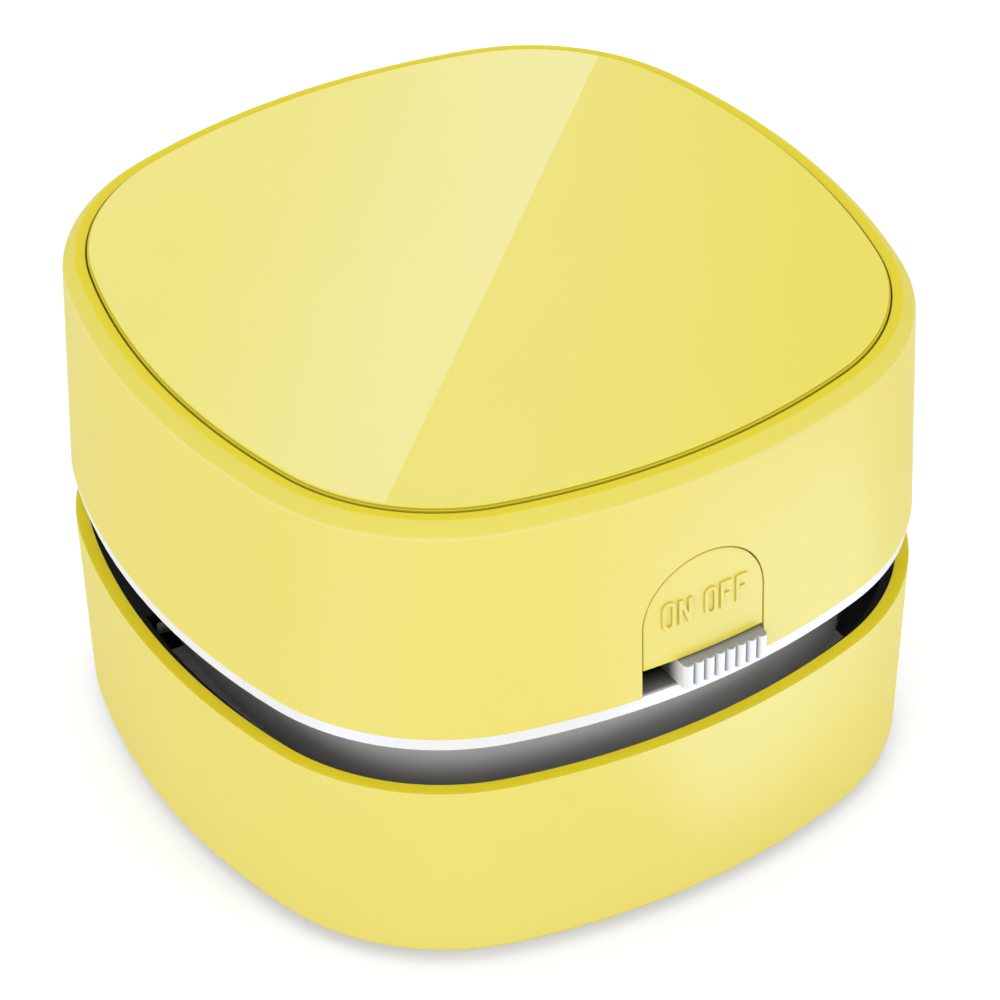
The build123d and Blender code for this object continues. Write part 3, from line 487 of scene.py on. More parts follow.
# name, first and second colour, roughness, and the grain where it isn't the usual one
plastics = {
    "deck_white": ("deckWhite", (0.81, 0.81, 0.82), (0.83, 0.83, 0.84), (0.25, 0.33), (1200.0, 0.002 * mm)),
    "plate_dark": ("plateBlack", (0.02, 0.02, 0.022), (0.03, 0.03, 0.032), (0.45, 0.6), (900.0, 0.02 * mm)),
    "tray_grey": ("trayGrey", (0.12, 0.125, 0.135), (0.14, 0.145, 0.155), (0.45, 0.55), (900.0, 0.015 * mm)),
    "nylon_brush": ("brushNylon", (0.03, 0.03, 0.033), (0.045, 0.045, 0.05), (0.35, 0.5)),
    "pad_rubber": ("padRubber", (0.025, 0.025, 0.025), (0.035, 0.035, 0.035), (0.7, 0.85),
                   (1200.0, 0.02 * mm)),
    "seal_rubber": ("sealRubber", (0.05, 0.05, 0.055), (0.06, 0.06, 0.065), (0.65, 0.8)),
    "filter_frame": ("filterFrame", (0.62, 0.64, 0.66), (0.66, 0.68, 0.7), (0.4, 0.5)),
    "fan_plastic": ("fanPlastic", (0.55, 0.57, 0.6), (0.6, 0.62, 0.65), (0.35, 0.45)),
    "motor_plastic": ("motorPlastic", (0.72, 0.72, 0.69), (0.76, 0.76, 0.73), (0.4, 0.5)),
    "carbon": ("carbonBlock", (0.015, 0.015, 0.016), (0.03, 0.03, 0.03), (0.5, 0.6)),
    "lead_red": ("leadRed", (0.55, 0.02, 0.015), (0.6, 0.03, 0.02), (0.4, 0.5)),
    "lead_black": ("leadBlack", (0.012, 0.012, 0.012), (0.02, 0.02, 0.02), (0.4, 0.5)),
    "magnet_ferrite": ("ferrite", (0.03, 0.03, 0.032), (0.05, 0.05, 0.052), (0.6, 0.75), (700.0, 0.03 * mm)),
}
# name, first and second colour, roughness, and the stretch where the finish runs one way
metals = {
    "screw_steel": ("screwSteel", (0.62, 0.62, 0.63), (0.7, 0.7, 0.71), (0.25, 0.35)),
    "motor_steel": ("canSteel", (0.6, 0.61, 0.62), (0.68, 0.69, 0.7), (0.22, 0.36), (1, 1, 0.08)),
    "shaft_steel": ("shaftSteel", (0.68, 0.68, 0.69), (0.74, 0.74, 0.75), (0.15, 0.25)),
    "core_steel": ("coreSteel", (0.35, 0.35, 0.36), (0.45, 0.45, 0.46), (0.4, 0.5), (0.1, 0.1, 1)),
    "copper": ("copperWire", (0.75, 0.32, 0.14), (0.85, 0.42, 0.2), (0.25, 0.4)),
    "bronze": ("sinteredBronze", (0.6, 0.4, 0.18), (0.68, 0.47, 0.22), (0.35, 0.5)),
    "contact_nickel": ("contactNickel", (0.7, 0.69, 0.66), (0.78, 0.77, 0.74), (0.2, 0.3)),
    "switch_metal": ("switchTin", (0.62, 0.62, 0.63), (0.7, 0.7, 0.71), (0.3, 0.4)),
    "cell_jacket": ("cellJacket", (0.16, 0.18, 0.22), (0.18, 0.2, 0.24), (0.3, 0.38)),
}
slotMaterials = {
    "shell_yellow": makeShellYellow("shellYellow", yellow["up"]),
    "panel_yellow": makePanelYellow(),
    "slider_white": makeSliderWhite(),
    "neck_dark": makeNeckGrey(),
    "liner_dark": makeLinerBlack(),
    "filter_mesh": makeCloth("filterCloth", (0.8, 0.8, 0.78), 0.8 * mm),
}
slotMaterials.update({slot: makePlastic(*values) for slot, values in plastics.items()})
slotMaterials.update({slot: makeMetal(*values) for slot, values in metals.items()})
nodeMaterials = {"slot_piece": makeSlotGrey(), "neck_gasket": slotMaterials["neck_dark"],
                 # The tab's yellow paints a band of shade just above its foot.
                 "push_tab": makeShellYellow("tabYellow", yellow["up"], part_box("push_tab")[0].z),
                 # The bin's rims take binUp, a rim yellow painted lighter against the shade under the cover.
                 "lower_shell": makeShellYellow("binYellow", yellow["binUp"])}
# Dark olive for the hidden walls round the panel: painted shade in the gap.
grooveYellow = makePlastic("grooveYellow", yellow["groove"], yellow["groove"], (0.6, 0.7))
# A deeper yellow for the letters' sides: painted shade.
letterYellow = makePlastic("letterYellow", yellow["letter"], yellow["letter"], (0.5, 0.6))
print("materials made:", len(slotMaterials))


# Bin: drafted wall, flat rim, rounded foot, and the recess for the base plate

binShell = {"wall": 1.5 * mm, "floor": 1.6 * mm, "footFillet": 1.0 * mm, "plateHole": 28.95 * mm,
            "lipHole": 31.15 * mm, "lip": 0.8 * mm, "bevel": 0.08 * mm}


def makeBin():
    low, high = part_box("lower_shell")
    base, rim = low.z, high.z
    slope, fillet = outline["draft"], binShell["footFillet"]
    tilt = math.degrees(math.atan(slope))
    centre = (slope * (rim - base - fillet) + fillet / math.cos(math.radians(tilt)), base + fillet)
    foot = arc(centre, fillet, -90, -tilt, 8)
    lipTop, floorTop = base + binShell["lip"], base + binShell["floor"]
    walls = [foot]
    for depth, heights in ((0, np.linspace(foot[-1, 1], rim, 30)[1:]),
                           (binShell["wall"], np.linspace(rim, floorTop, 24))):
        walls.append(np.stack([depth + slope * (rim - heights), heights], -1))
    skin = carry(np.concatenate(walls))
    turns = np.arctan2(skin[0][:, 1], skin[0][:, 0])
    rings = [circle(turns, binShell[hole], height) for hole, height in
             (("lipHole", base), ("lipHole", lipTop), ("plateHole", lipTop), ("plateHole", floorTop))]
    grids = [(skin, True), (np.stack([skin[0], *rings, skin[-1]]), True)]
    piece = addPiece("binShell", weave("binShell", grids), "lower_shell", nodeMaterials["lower_shell"])
    softenEdges(piece, binShell["bevel"], 40)


makeBin()
print("bin shell made")


# Cover: drafted wall, round shoulder, seat for the panel, and an arched opening for the tab

cover = {"wall": 1.8 * mm, "shoulderLow": 1.7 * mm, "shoulderBend": 1.0 * mm, "rim": 1.1 * mm,
         "crisp": 0.02 * mm, "seatInset": 3.3 * mm, "seatDepth": 1.15 * mm, "rimEdge": 0.05 * mm,
         "roof": 1.6 * mm, "archHalf": 7.5 * mm, "archTop": 16.0 * mm, "frameHalf": 13,
         "frameTop": 19.0 * mm, "frameRows": 38, "bevel": 0.07 * mm}
catches = {"start": 9.6 * mm, "width": 1.8 * mm, "base": 5.3 * mm, "height": 1.2 * mm, "depth": 1.3 * mm,
           "root": 0.3 * mm}  # the tab's lugs hold behind these blocks


def archPath(half, foot, top, sidePoints, topPoints):
    # Up one leg, over a half circle and down the other leg. The legs and the first eighth turn of
    # the arc share the side's points, and the quarter turn over the top takes the others.
    springLine = top - half
    legLength, eighth = springLine - foot, half * math.pi / 4
    along = np.linspace(0, legLength + eighth, sidePoints)
    onArc = along > legLength
    angle = np.where(onArc, math.pi - (along - legLength) / half, math.pi)
    height = np.where(onArc, springLine + half * np.sin(angle), foot + along)
    left = np.stack([half * np.cos(angle), height], -1)
    over = np.linspace(0.75 * math.pi, 0.25 * math.pi, topPoints)[1:-1]
    crown = np.stack([half * np.cos(over), springLine + half * np.sin(over)], -1)
    return np.concatenate([left, crown, left[::-1] * [-1, 1]])


def makeCover():
    low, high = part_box("upper_shell")
    base, rim = low.z, high.z
    slope, half, frameRows = outline["draft"], cover["frameHalf"], cover["frameRows"]
    seat = rim - cover["seatDepth"]
    frameTop, wallTop = base + cover["frameTop"], rim - cover["shoulderLow"]
    heights = np.concatenate([np.linspace(base, frameTop, frameRows), np.linspace(frameTop, wallTop, 12)[1:]])
    outerWall = np.stack([slope * (heights - base), heights], -1)
    # The shoulder is a quadratic curve: (1-t)^2 * wall's top + 2t(1-t) * bend + t^2 * rim's outer edge.
    # The bend lies low, so the curve turns there and runs on almost straight.
    bend = np.array([slope * (rim - cover["shoulderBend"] - base), rim - cover["shoulderBend"]])
    rimEdge = np.array([cover["seatInset"] - cover["rim"], rim])
    t = np.append(np.linspace(0, 1, 18)[1:-1], [0.985, 1])[:, None]
    shoulder = (1 - t) ** 2 * outerWall[-1] + 2 * t * (1 - t) * bend + t ** 2 * rimEdge
    innerEdge = cover["seatInset"] - cover["rimEdge"]
    seatEdge = [cover["seatInset"], rim - cover["rimEdge"]]
    rimRows = [rimEdge + [cover["crisp"], 0], [innerEdge - cover["crisp"], rim], [innerEdge, rim], seatEdge]
    outer = carry(np.concatenate([outerWall, shoulder, rimRows]))
    pocket = carry([seatEdge, [cover["seatInset"], seat]])
    innerHeights = np.concatenate([heights[:frameRows], np.linspace(frameTop, seat - cover["roof"], 8)[1:]])
    inner = carry(np.stack([cover["wall"] + slope * (innerHeights - base), innerHeights], -1))
    window = np.arange(-half, half) % outline["steps"]  # the first column stands at the front's middle
    grids = []
    for skin, openRows in ((outer, frameRows), (inner, frameRows), (np.stack([outer[0], inner[0]]), 2)):
        kept = np.ones((len(skin) - 1, outline["steps"]), bool)
        kept[: openRows - 1, window] = False
        grids.append((skin, True, 0, kept))
    # The seat's walls, number 1, are painted dark olive: painted shade in the gap round the panel.
    grids[2:2] = [(pocket, True, 1), (closeTowardsCentre(pocket[-1]), True, 1),
                  (closeTowardsCentre(inner[-1]), True)]

    # The window's frame, walked up the left side, along the top and down the right side
    columns = allTurns[0] + np.arange(-half, half + 1) * (2 * math.pi / outline["steps"])
    frameTurn = np.repeat(columns, [frameRows] + [1] * (2 * half - 1) + [frameRows])
    leg = heights[:frameRows]
    frameHeight = np.concatenate([leg, np.full(2 * half - 1, leg[-1]), leg[::-1]])
    path = archPath(cover["archHalf"], base, base + cover["archTop"], frameRows, 2 * half + 1)
    spokes = np.linspace(0, 1, 7)[:, None]
    patches = []
    for depth in (0.0, cover["wall"]):
        archTurn = frontTurn(path[:, 0], depth + slope * (path[:, 1] - base))
        turn = frameTurn * (1 - spokes) + archTurn * spokes
        height = frameHeight * (1 - spokes) + path[:, 1] * spokes
        patches.append(outlinePoint(turn, depth + slope * (height - base), height))
        grids.append((patches[-1], False))
    front, back = patches
    # The arch's edge, then the cover's foot on both sides of it
    grids += [(np.stack(pair), False) for pair in
              ((front[-1], back[-1]), (front[:, 0], back[:, 0]), (front[:, -1], back[:, -1]))]
    for side in (-1, 1):
        grids += wallBlock(side * catches["start"], side * (catches["start"] + catches["width"]),
                           base + catches["base"], catches["height"], cover["wall"] - catches["root"],
                           cover["wall"] + catches["depth"])
    piece = addPiece("coverShell", weave("coverShell", grids), "upper_shell", slotMaterials["shell_yellow"],
                     grooveYellow)
    softenEdges(piece, cover["bevel"], 50)


makeCover()
print("cover made")


# Top panel: a plate with a small rounded edge over a lower step; the step's risers are painted dark as shade
# in the gap

panel = {"inset": 3.5 * mm, "step": 0.18 * mm, "drop": 0.35 * mm, "edge": 0.13 * mm, "crisp": 0.02 * mm,
         "border": 1.5 * mm}


def makePanel():
    low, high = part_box("top_panel")
    start, step = panel["inset"] + panel["step"], high.z - panel["drop"]
    edge = arc((start + panel["edge"], high.z - panel["edge"]), panel["edge"], 0, 90, 7)
    flat = [edge[-1] + [panel["crisp"], 0], [start + panel["border"], high.z]]
    face = carry(np.concatenate([edge, flat]))
    riser = carry([[start, step], edge[0]])
    strip = carry([[panel["inset"], step], [start, step]])
    side = carry([[panel["inset"], low.z], [panel["inset"], step]])
    # The side and the riser, number 1, are painted dark olive: painted shade in the gap.
    grids = [(side, True, 1), (strip, True, 2), (riser, True, 1), (face, True),
             (closeTowardsCentre(face[-1]), True), (closeTowardsCentre(side[0]), True, 1)]
    piece = addPiece("topPanel", weave("topPanel", grids), "top_panel", slotMaterials["panel_yellow"],
                     grooveYellow, slotMaterials["shell_yellow"])
    flattenShading(piece, 35)
    return piece


topPanel = makePanel()
print("top panel made")


# Push tab: an arched face with a round edge, a flange behind the wall, lugs, a post and raised lettering

tab = {"half": 7.35 * mm, "base": 3.5 * mm, "top": 15.85 * mm, "edge": 0.14 * mm, "flange": 2.1 * mm,
       "back": 3.3 * mm, "lap": 1.5 * mm, "lugEnd": 11.0 * mm, "lugBase": 6.8 * mm, "lugHeight": 1.7 * mm,
       "postHeight": 10.1 * mm, "postRadius": 2.2 * mm, "headRadius": 2.7 * mm, "headLength": 1.0 * mm,
       "headEdge": 0.3 * mm}
lettering = {"height": 3.1 * mm, "width": 1.15 * mm, "pitch": 1.95 * mm, "stroke": 0.44 * mm,
             "relief": 0.26 * mm, "soft": 0.06 * mm, "sink": 0.2 * mm, "centre": 9.6 * mm, "wordGap": 0.6,
             "lower": 0.008 * mm}


def tabLoop(grow, drop):
    # The tab's outline in (across, height), grown by grow round the arch and by drop at its flat foot
    path = archPath(tab["half"] + grow, coverBase + tab["base"] - drop, coverBase + tab["top"] + grow, 30, 24)
    foot = np.linspace(path[-1], path[0], 26)[1:-1]
    return np.concatenate([path, foot])


def tabRing(grow, drop, depth):
    loop = tabLoop(grow, drop)
    return wallPoint(loop[:, 0], loop[:, 1], depth)


def tabLid(grow, drop, depth):
    # The loop shrinks evenly to the face's middle; every ring is laid on the bowed wall
    loop = tabLoop(grow, drop)
    middle = np.array([0, coverBase + (tab["base"] + tab["top"]) / 2])
    share = np.linspace(0, 1, 12)[:, None, None]
    rings = middle + (loop - middle) * share
    return wallPoint(rings[..., 0], rings[..., 1], depth)


def roundLetter():
    # The O is a tall ring: two straight sides between half circles
    radius, height = lettering["width"] / 2, lettering["height"]
    angle = np.linspace(0, math.pi, 15)
    over = np.array([radius, height - radius]) + polar(radius, angle)
    under = radius - polar(radius, angle)
    return np.concatenate([over, under, over[:1]])


def stroke(points, closed, relief):
    # A bar along the points: its section is carried by the mitred side vector (n1 + n2) / (1 + n1.n2)
    step = np.diff(points, axis=0)
    step /= np.linalg.norm(step, axis=1, keepdims=True)
    normal = np.stack([step[:, 1], -step[:, 0]], -1)
    before = np.concatenate([normal[-1:] if closed else normal[:1], normal])
    after = np.concatenate([normal, normal[:1] if closed else normal[-1:]])
    mitre = (before + after) / (1 + (before * after).sum(axis=1, keepdims=True))
    half, soft, sink = lettering["stroke"] / 2, lettering["soft"], -lettering["sink"]
    section = np.array([(-half, sink), (-half, relief - soft), (-half + soft, relief), (half - soft, relief),
                        (half, relief - soft), (half, sink)])
    flat = points[:, None, :] + mitre[:, None, :] * section[None, :, :1]
    skin = wallPoint(flat[..., 0], flat[..., 1], -section[None, :, 1])
    grids = [(skin[:, 1:5], False)]  # the top, then both sides and the sunk base
    # The sides and the sunk base take the deeper yellow: painted shade on the letters' sides.
    grids += [(skin[:, part], False, 1) for part in ([0, 1], [4, 5], [5, 0])]
    if not closed:
        for end in (skin[0], skin[-1]):  # an end cap: the section folded on itself
            grids.append((np.stack([end[:3], end[:2:-1]]), False, 1))
    return grids


def letterGrids():
    # ON and OFF, each stroke's points on the letter's box
    width, height, half = lettering["width"], lettering["height"], lettering["stroke"] / 2
    slant = 0.03 * height  # the slanted bar starts and ends inside the stems
    strokesN = [[(0, 0), (0, height)], [(width, 0), (width, height)],
                [(0.03 * width, height - slant), (0.97 * width, slant)]]
    strokesF = [[(0, 0), (0, height), (width, height)], [(half, 0.52 * height), (0.8 * width, 0.52 * height)]]
    gap = lettering["wordGap"]
    columns = [(0, None), (1, strokesN), (2 + gap, None), (3 + gap, strokesF), (4 + gap, strokesF)]
    start = -(columns[-1][0] * lettering["pitch"] + width) / 2
    grids = []
    for column, strokes in columns:
        corner = np.array([start + column * lettering["pitch"], coverBase + lettering["centre"] - height / 2])
        if strokes is None:
            grids += stroke(roundLetter() + corner, True, lettering["relief"])
            continue
        for place, points in enumerate(strokes):  # later bars lie a hair lower, so no faces coincide
            relief = lettering["relief"] - place * lettering["lower"]
            grids += stroke(np.array(points) + corner, False, relief)
    return grids


def turned(rows, axisPoint, axis, steps):
    # A body of revolution: each row is (radius, distance along the axis)
    rows = np.asarray(rows)
    axis = Vector(axis)
    first = axis.orthogonal().normalized()
    second = axis.cross(first)
    angle = np.linspace(0, 2 * math.pi, steps, endpoint=False)
    spread = np.cos(angle)[:, None] * np.array(first) + np.sin(angle)[:, None] * np.array(second)
    along = rows[:, 1, None, None] * np.array(axis)
    return np.array(axisPoint) + along + rows[:, 0, None, None] * spread[None]


def makeTab():
    edge, flange, back, lap = tab["edge"], tab["flange"], tab["back"], tab["lap"]
    face, rear = tabLid(-edge, -edge, 0), tabLid(lap, 0, back)
    rings = [face[-1]]
    for angle in np.radians(np.linspace(0, 90, 6))[1:]:
        grow = -edge + edge * math.sin(angle)
        rings.append(tabRing(grow, grow, edge - edge * math.cos(angle)))
    rings += [tabRing(0, 0, flange), tabRing(lap, 0, flange), tabRing(lap, 0, back)]
    grids = [(face, True), (np.stack(rings), True), (rear, True)]
    for side in (-1, 1):
        grids += wallBlock(side * (tab["half"] + lap / 2), side * tab["lugEnd"],
                           coverBase + tab["lugBase"], tab["lugHeight"], flange, back)
    radius, head, length, soft = tab["postRadius"], tab["headRadius"], tab["headLength"], tab["headEdge"]
    start = -outline["half"] + back
    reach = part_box("push_tab")[1].y - start
    post = [(0, 0), (radius, 0), (radius, reach - length), (head, reach - length), (head, reach - soft),
            (head - soft, reach), (0, reach)]
    grids.append((turned(post, (0, start, coverBase + tab["postHeight"]), (0, 1, 0), 48), True))
    grids += letterGrids()
    piece = addPiece("pushTab", weave("pushTab", grids), "push_tab", nodeMaterials["push_tab"], letterYellow)
    piece.data.set_sharp_from_angle(angle=math.radians(35))


makeTab()
print("push tab made")


# Slider: half round ribs on its front, with a rounded top edge


def sliderRing(inset, height):
    # The ribs' half circles from left to right, then the straight back from left to right; drawing
    # the outline inwards shortens the ribs' radius and moves the three straight sides
    low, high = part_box("slider")
    radius = (high.x - low.x) / slider["ribs"] / 2
    centres = low.x + radius * (2 * np.arange(slider["ribs"]) + 1)
    angle = np.linspace(math.pi, 2 * math.pi, slider["ribSteps"])
    across = (centres[:, None] + (radius - inset) * np.cos(angle)).reshape(-1)
    front = low.y + radius + (radius - inset) * np.tile(np.sin(angle), slider["ribs"])
    return [np.stack([across, depth, np.full(len(across), height)], -1)
            for depth in (front, np.full(len(across), high.y - inset))]


def makeSlider():
    low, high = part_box("slider")
    edge = slider["edge"]
    bend = np.radians([22.5, 45, 67.5, 90])
    levels = [(0, low.z), (0, high.z - edge)]
    levels += [(edge * (1 - math.cos(a)), high.z - edge + edge * math.sin(a)) for a in bend]
    pairs = [sliderRing(inset, height) for inset, height in levels]
    skin = np.stack([np.concatenate([front, back[::-1]]) for front, back in pairs])
    grids = [(skin, True), (np.stack(pairs[0]), False), (np.stack(pairs[-1]), False)]
    piece = addPiece("ribbedSlider", weave("ribbedSlider", grids), "slider", slotMaterials["slider_white"])
    flattenShading(piece, 50)


makeSlider()
print("slider made")


# Cells: a printed sleeve folded over both ends of a nickel plated can

cell = {"radius": 7.25 * mm, "fold": 0.5 * mm, "nub": 2.75 * mm, "nubHeight": 1.0 * mm,
        "sleeveHole": 5.6 * mm, "sleeve": 0.1 * mm, "nubFoot": (0.6 * mm, 0.2 * mm), "nubEdge": 0.25 * mm}


def makeCell(node, direction):
    low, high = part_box(node)
    r, fold, nub, rise = cell["radius"], cell["fold"], cell["nub"], cell["nubHeight"]
    hole, thick, soft = cell["sleeveHole"], cell["sleeve"], cell["nubEdge"]
    wide, up = cell["nubFoot"]
    length = high.y - low.y - rise
    tail = low.y if direction > 0 else high.y
    bend = np.radians(np.linspace(0, 90, 7))
    foot = np.stack([r - fold + fold * np.sin(bend), fold - fold * np.cos(bend)], -1)
    sleeve = np.concatenate([[(hole, thick), (hole, 0)], foot, (foot * [1, -1] + [0, length])[::-1],
                             [(hole, length), (hole, length - thick)]])
    base = [(0, thick), (hole, thick)]
    cap = [(hole, length - thick), (nub + wide, length - thick), (nub, length + up),
           (nub, length + rise - soft), (nub - soft, length + rise), (0, length + rise)]
    axisPoint = ((low.x + high.x) / 2, tail, (low.z + high.z) / 2)
    grids = [(turned(rows, axisPoint, (0, direction, 0), 72), True, number)
             for rows, number in ((base, 1), (sleeve, 0), (cap, 1))]
    side = node.split("_")[1]
    piece = addPiece("cell" + side.capitalize(), weave("cell" + side, grids), node,
                     slotMaterials["cell_jacket"], slotMaterials["contact_nickel"])
    piece.data.set_sharp_from_angle(angle=math.radians(35))


makeCell("cell_left", 1)
makeCell("cell_right", -1)
print("cells made")


# Brush: every tuft is a bundle of thin bristles that spread a little towards their tips

brush = {"rowRadii": (15.125 * mm, 17.375 * mm), "tufts": 30, "bundle": 19, "spread": 0.52 * mm,
         "tip": 0.66 * mm, "bristle": 0.07 * mm, "sides": 5, "uneven": 0.25 * mm, "taper": 0.02 * mm}


def makeBrush():
    low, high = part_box("brush_tufts")
    tuft = np.arange(brush["tufts"])
    centres = np.concatenate([
        polar(radius, 2 * math.pi * tuft / brush["tufts"] + row * math.pi / 2 / brush["tufts"])
        for row, radius in zip((-1, 1), brush["rowRadii"])])
    # Sunflower spread: seed k stands at sqrt(k / n) of the radius, turned by the golden angle each time
    seed = np.arange(brush["bundle"])
    spot = polar(np.sqrt((seed + 0.5) / brush["bundle"]), seed * math.pi * (3 - math.sqrt(5)))
    ring = polar(brush["bristle"], np.linspace(0, 2 * math.pi, brush["sides"], endpoint=False))
    chance = np.random.default_rng(7)
    tipHeight = low.z + brush["uneven"] * chance.random((len(centres), brush["bundle"]))
    middle, end = (brush["spread"] + brush["tip"]) / 2 - brush["taper"], brush["tip"] - brush["bristle"]
    levels = []
    for share, radius, thickness in ((0, brush["spread"], 1), (0.5, middle, 1), (1, end, 0.9), (1, end, 0)):
        flat = centres[:, None, None] + radius * spot[None, :, None] + thickness * ring[None, None]
        height = high.z + (tipHeight - high.z) * share
        rise = np.broadcast_to(height[:, :, None, None], flat.shape[:3] + (1,))
        levels.append(np.concatenate([flat, rise], -1))
    points = np.stack(levels, 2)  # tuft, bristle, level, side
    rows, cols = points.shape[2:4]
    first = np.arange(points.shape[0] * points.shape[1]) * rows * cols
    corners = (first[:, None, None] + quadCorners(rows, cols, True)[None]).reshape(-1, 4)
    mesh = bpy.data.meshes.new("bristles")
    mesh.from_pydata(points.reshape(-1, 3).tolist(), [], corners.tolist())
    mesh.shade_smooth()
    addPiece("bristles", mesh, "brush_tufts", slotMaterials["nylon_brush"])


makeBrush()
print("brush made")


# Every other node: a welded copy with smooth curves. Walls that follow the outline take their
# normals from its arcs, so that they show no facets, and level faces keep their own.


def readVectors(items, name):
    values = np.empty(len(items) * 3)
    items.foreach_get(name, values)
    return values.reshape(-1, 3)


def readNumbers(items, name):
    values = np.empty(len(items), np.int32)
    items.foreach_get(name, values)
    return values


def outlineNormals(mesh):
    # Per corner: the outline's own normal on its walls, the face's on level faces, else nothing
    centre, normal = readVectors(mesh.polygons, "center"), readVectors(mesh.polygons, "normal")
    facing = (outlineNormal(centre) * normal[:, :2]).sum(axis=1)
    onWall = (np.abs(facing) > 0.998) & (np.hypot(centre[:, 0], centre[:, 1]) > 30 * mm)
    owner = np.repeat(np.arange(len(centre)), readNumbers(mesh.polygons, "loop_total"))
    place = readVectors(mesh.vertices, "co")[readNumbers(mesh.loops, "vertex_index")]
    flat = outlineNormal(place) * np.sign(facing)[owner, None]
    tilt = normal[owner, 2:]
    custom = np.concatenate([flat * np.sqrt(1 - tilt ** 2), tilt], -1)
    custom[~onWall[owner]] = 0
    level = (np.abs(normal[:, 2]) > 0.9999)[owner]
    custom[level] = normal[owner][level]
    return custom


def dressNode(node):
    mesh = weld(frame["nodes"][node].data.copy(), 1e-6)
    mesh.set_sharp_from_angle(angle=math.radians(32))
    mesh.normals_split_custom_set(outlineNormals(mesh).tolist())
    first, *others = node.split("_")
    name = first + "".join(word.capitalize() for word in others)
    return addPiece(name, mesh, node, nodeMaterials.get(node, slotMaterials[nodeSlot[node]]))


handMade = {"lower_shell", "upper_shell", "top_panel", "push_tab", "slider", "cell_left", "cell_right",
            "brush_tufts"}
dressed = {node: dressNode(node) for node in sorted(set(frame["nodes"]) - handMade)}
print("nodes dressed")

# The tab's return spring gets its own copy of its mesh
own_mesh(dressed["tab_spring"])


# Camera

camera = {"azimuth": -31.523, "elevation": 37.753, "distance": 482.38 * mm, "roll": -0.666,
          "target": (-1.945 * mm, -5.569 * mm, 31.5 * mm), "focal": 4443.27, "picture": 1000.0,
          "sensor": 36.0}


def makeCamera():
    azimuth, elevation = math.radians(camera["azimuth"]), math.radians(camera["elevation"])
    back = Vector((math.sin(azimuth) * math.cos(elevation), -math.cos(azimuth) * math.cos(elevation),
                   math.sin(elevation)))
    right = (-back).cross(Vector((0, 0, 1))).normalized()
    up = right.cross(-back)
    roll = math.radians(camera["roll"])
    rolledRight = math.cos(roll) * right + math.sin(roll) * up
    rolledUp = math.cos(roll) * up - math.sin(roll) * right
    data = bpy.data.cameras.new("camera")
    data.sensor_width = camera["sensor"]
    data.lens = camera["focal"] / camera["picture"] * camera["sensor"]
    data.clip_start, data.clip_end = 0.01, 20
    eye = addObject("camera", data)
    turn = Matrix((rolledRight, rolledUp, back)).transposed().to_4x4()
    eye.matrix_world = Matrix.Translation(Vector(camera["target"]) + back * camera["distance"]) @ turn
    scene.camera = eye


makeCamera()
print("camera set")


# Floor, world and lamps

studio = {"floorSize": 6.0, "floorColor": (0.92, 0.925, 0.955), "floorLift": 0.3,
          "liftColor": (0.6, 0.67, 1.0), "worldStrength": 0.72, "aim": (0, 0, 0.03)}
lamps = {
    "key": {"place": (0.7, -1.15, 0.4), "size": (0.5, 0.5), "power": 4.1},
    "fill": {"place": (-1.15, -0.45, 0.4), "size": (0.8, 0.8), "power": 4.5},
    "top": {"place": (0.0, 0.1, 1.3), "size": (1.0, 1.0), "power": 3.2},
    "back": {"place": (0.45, 1.25, 0.3), "size": (0.6, 0.6), "power": 1.6},
}
glows = {  # seen only in reflections
    "rightGlow": {"place": (0.045, -0.075, 0.002), "size": (0.08, 0.05), "power": 0.095,
                  "color": (0.3, 0.46, 1.0)},
    "leftGlow": {"place": (-0.095, -0.055, 0.002), "size": (0.06, 0.06), "power": 0.05,
                 "color": (0.25, 0.38, 1.0)},
}


def seenOrMirrored(tree):
    # 1 where the camera, a mirror or glass looks, else 0
    path = addNode(tree, "LightPath")
    mirrored = mathNode(tree, "MAXIMUM", path.outputs["Is Glossy Ray"], path.outputs["Is Transmission Ray"])
    return mathNode(tree, "MAXIMUM", mirrored, path.outputs["Is Camera Ray"])


def flatMesh(name, corners):
    mesh = bpy.data.meshes.new(name)
    mesh.from_pydata([(x, y, 0) for x, y in corners], [], [(0, 1, 2, 3)])
    return mesh


def makeFloor():
    half = studio["floorSize"] / 2
    mesh = flatMesh("floor", [(-half, -half), (half, -half), (half, half), (-half, half)])
    material, tree, shader = startMaterial("floorPale", studio["floorColor"], 0.9, 0.0)
    seen = addNode(tree, "LightPath").outputs["Is Camera Ray"]
    lift = mapRange(tree, seen, 0.0, 1.0, 0.0, studio["floorLift"])
    feed(shader, {"Emission Color": studio["liftColor"], "Emission Strength": lift})
    mesh.materials.append(material)
    addObject("floor", mesh)


def makeWorld():
    world = bpy.data.worlds.new("studio")
    scene.world = world
    world.use_nodes = True
    tree = world.node_tree
    strength = mapRange(tree, seenOrMirrored(tree), 0.0, 1.0, studio["worldStrength"], 1.0)
    feed(tree.nodes["Background"], {"Color": (1, 1, 1), "Strength": strength})


def addLamp(name, lamp, aim):
    data = bpy.data.lights.new(name, "AREA")
    data.shape = "RECTANGLE"
    data.size, data.size_y = lamp["size"]
    data.energy = lamp["power"]
    data.color = lamp.get("color", (1, 1, 1))
    made = addObject(name, data)
    made.location = lamp["place"]
    made.rotation_euler = (Vector(aim) - Vector(lamp["place"])).to_track_quat("-Z", "Y").to_euler()
    made.visible_camera = False
    return made


def lightOnly(lamp, piece, state):
    # INCLUDE: the lamp lights that piece alone; EXCLUDE: every piece but that one
    linked = bpy.data.collections.new(lamp.name)
    linked.objects.link(piece)
    lamp.light_linking.receiver_collection = linked
    linked.collection_objects[0].light_linking.link_state = state


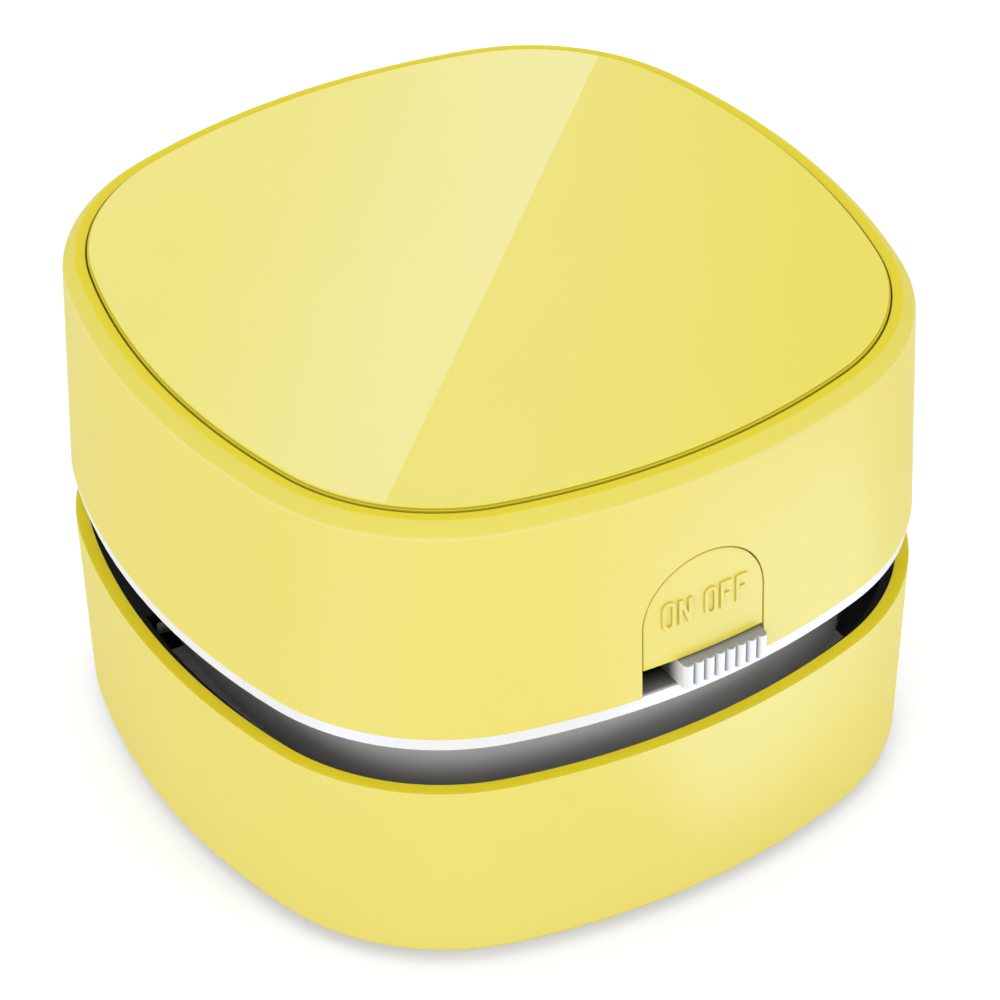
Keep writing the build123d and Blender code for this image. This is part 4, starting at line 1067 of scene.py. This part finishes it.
# The panel mirrors two pale blue cards that lie level over the back of the stage. A card's point is the
# panel's point, sent on from the camera's mirror image by the reach; the reaches differ, so the cards
# don't touch. The narrow one's edge crosses the panel aslant, and both fade along a direction of it.

cards = {
    "cardWide": {"corners": ((-0.06, -0.09), (0.09, -0.06), (0.06, 0.09), (-0.09, 0.06)), "reach": 3.5,
                 "fade": (0.853, -0.523), "range": (0.041, 0.0), "faint": 0.0, "strength": 1.03,
                 "color": (0.38, 0.47, 1.0)},
    "cardSplit": {"corners": ((-0.0592, -0.0569), (0.0655, 0.0586), (0.0108, 0.1176), (-0.1139, 0.0021)),
                  "reach": 3.48, "fade": (-0.68, 0.733), "range": (0.0325, -0.0015), "faint": 0.32,
                  "strength": 2.05, "color": (0.27, 0.44, 1.0)},
}


def makeCard(name, card):
    eye = scene.camera.matrix_world.translation
    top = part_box("top_panel")[1].z
    mirror = Vector((eye.x, eye.y, 2 * top - eye.z))
    mesh = flatMesh(name, card["corners"])
    piece = addObject(name, mesh)
    piece.scale = (card["reach"], card["reach"], 1)
    piece.location = mirror + (Vector((0, 0, top)) - mirror) * card["reach"]
    piece.visible_camera = piece.visible_diffuse = piece.visible_shadow = piece.visible_transmission = False
    material = bpy.data.materials.new(name)
    material.use_nodes = True
    tree = material.node_tree
    tree.nodes.clear()
    place = addNode(tree, "TexCoord").outputs["Object"]
    along = addNode(tree, "VectorMath", {0: place, 1: (*card["fade"], 0)}, operation="DOT_PRODUCT")
    fade = mapRange(tree, along.outputs["Value"], *card["range"], card["faint"], card["strength"], True)
    glow = addNode(tree, "Emission", {"Color": card["color"], "Strength": fade})
    clear = addNode(tree, "BsdfTransparent")
    both = addNode(tree, "AddShader", {0: clear.outputs["BSDF"], 1: glow.outputs["Emission"]})
    addNode(tree, "OutputMaterial", {"Surface": both.outputs["Shader"]})
    mesh.materials.append(material)


makeFloor()
makeWorld()
for name, card in cards.items():
    makeCard(name, card)
for name, lamp in lamps.items():  # the polished panel has its own lamps, which it doesn't mirror
    for state in ("EXCLUDE", "INCLUDE"):
        made = addLamp(name + state.capitalize(), lamp, studio["aim"])
        lightOnly(made, topPanel, state)
        made.visible_glossy = state == "EXCLUDE"
for name, glow in glows.items():
    addLamp(name, glow, (*glow["place"][:2], 1.0)).visible_diffuse = False
scene.view_settings.view_transform = "Standard"
print("studio set")
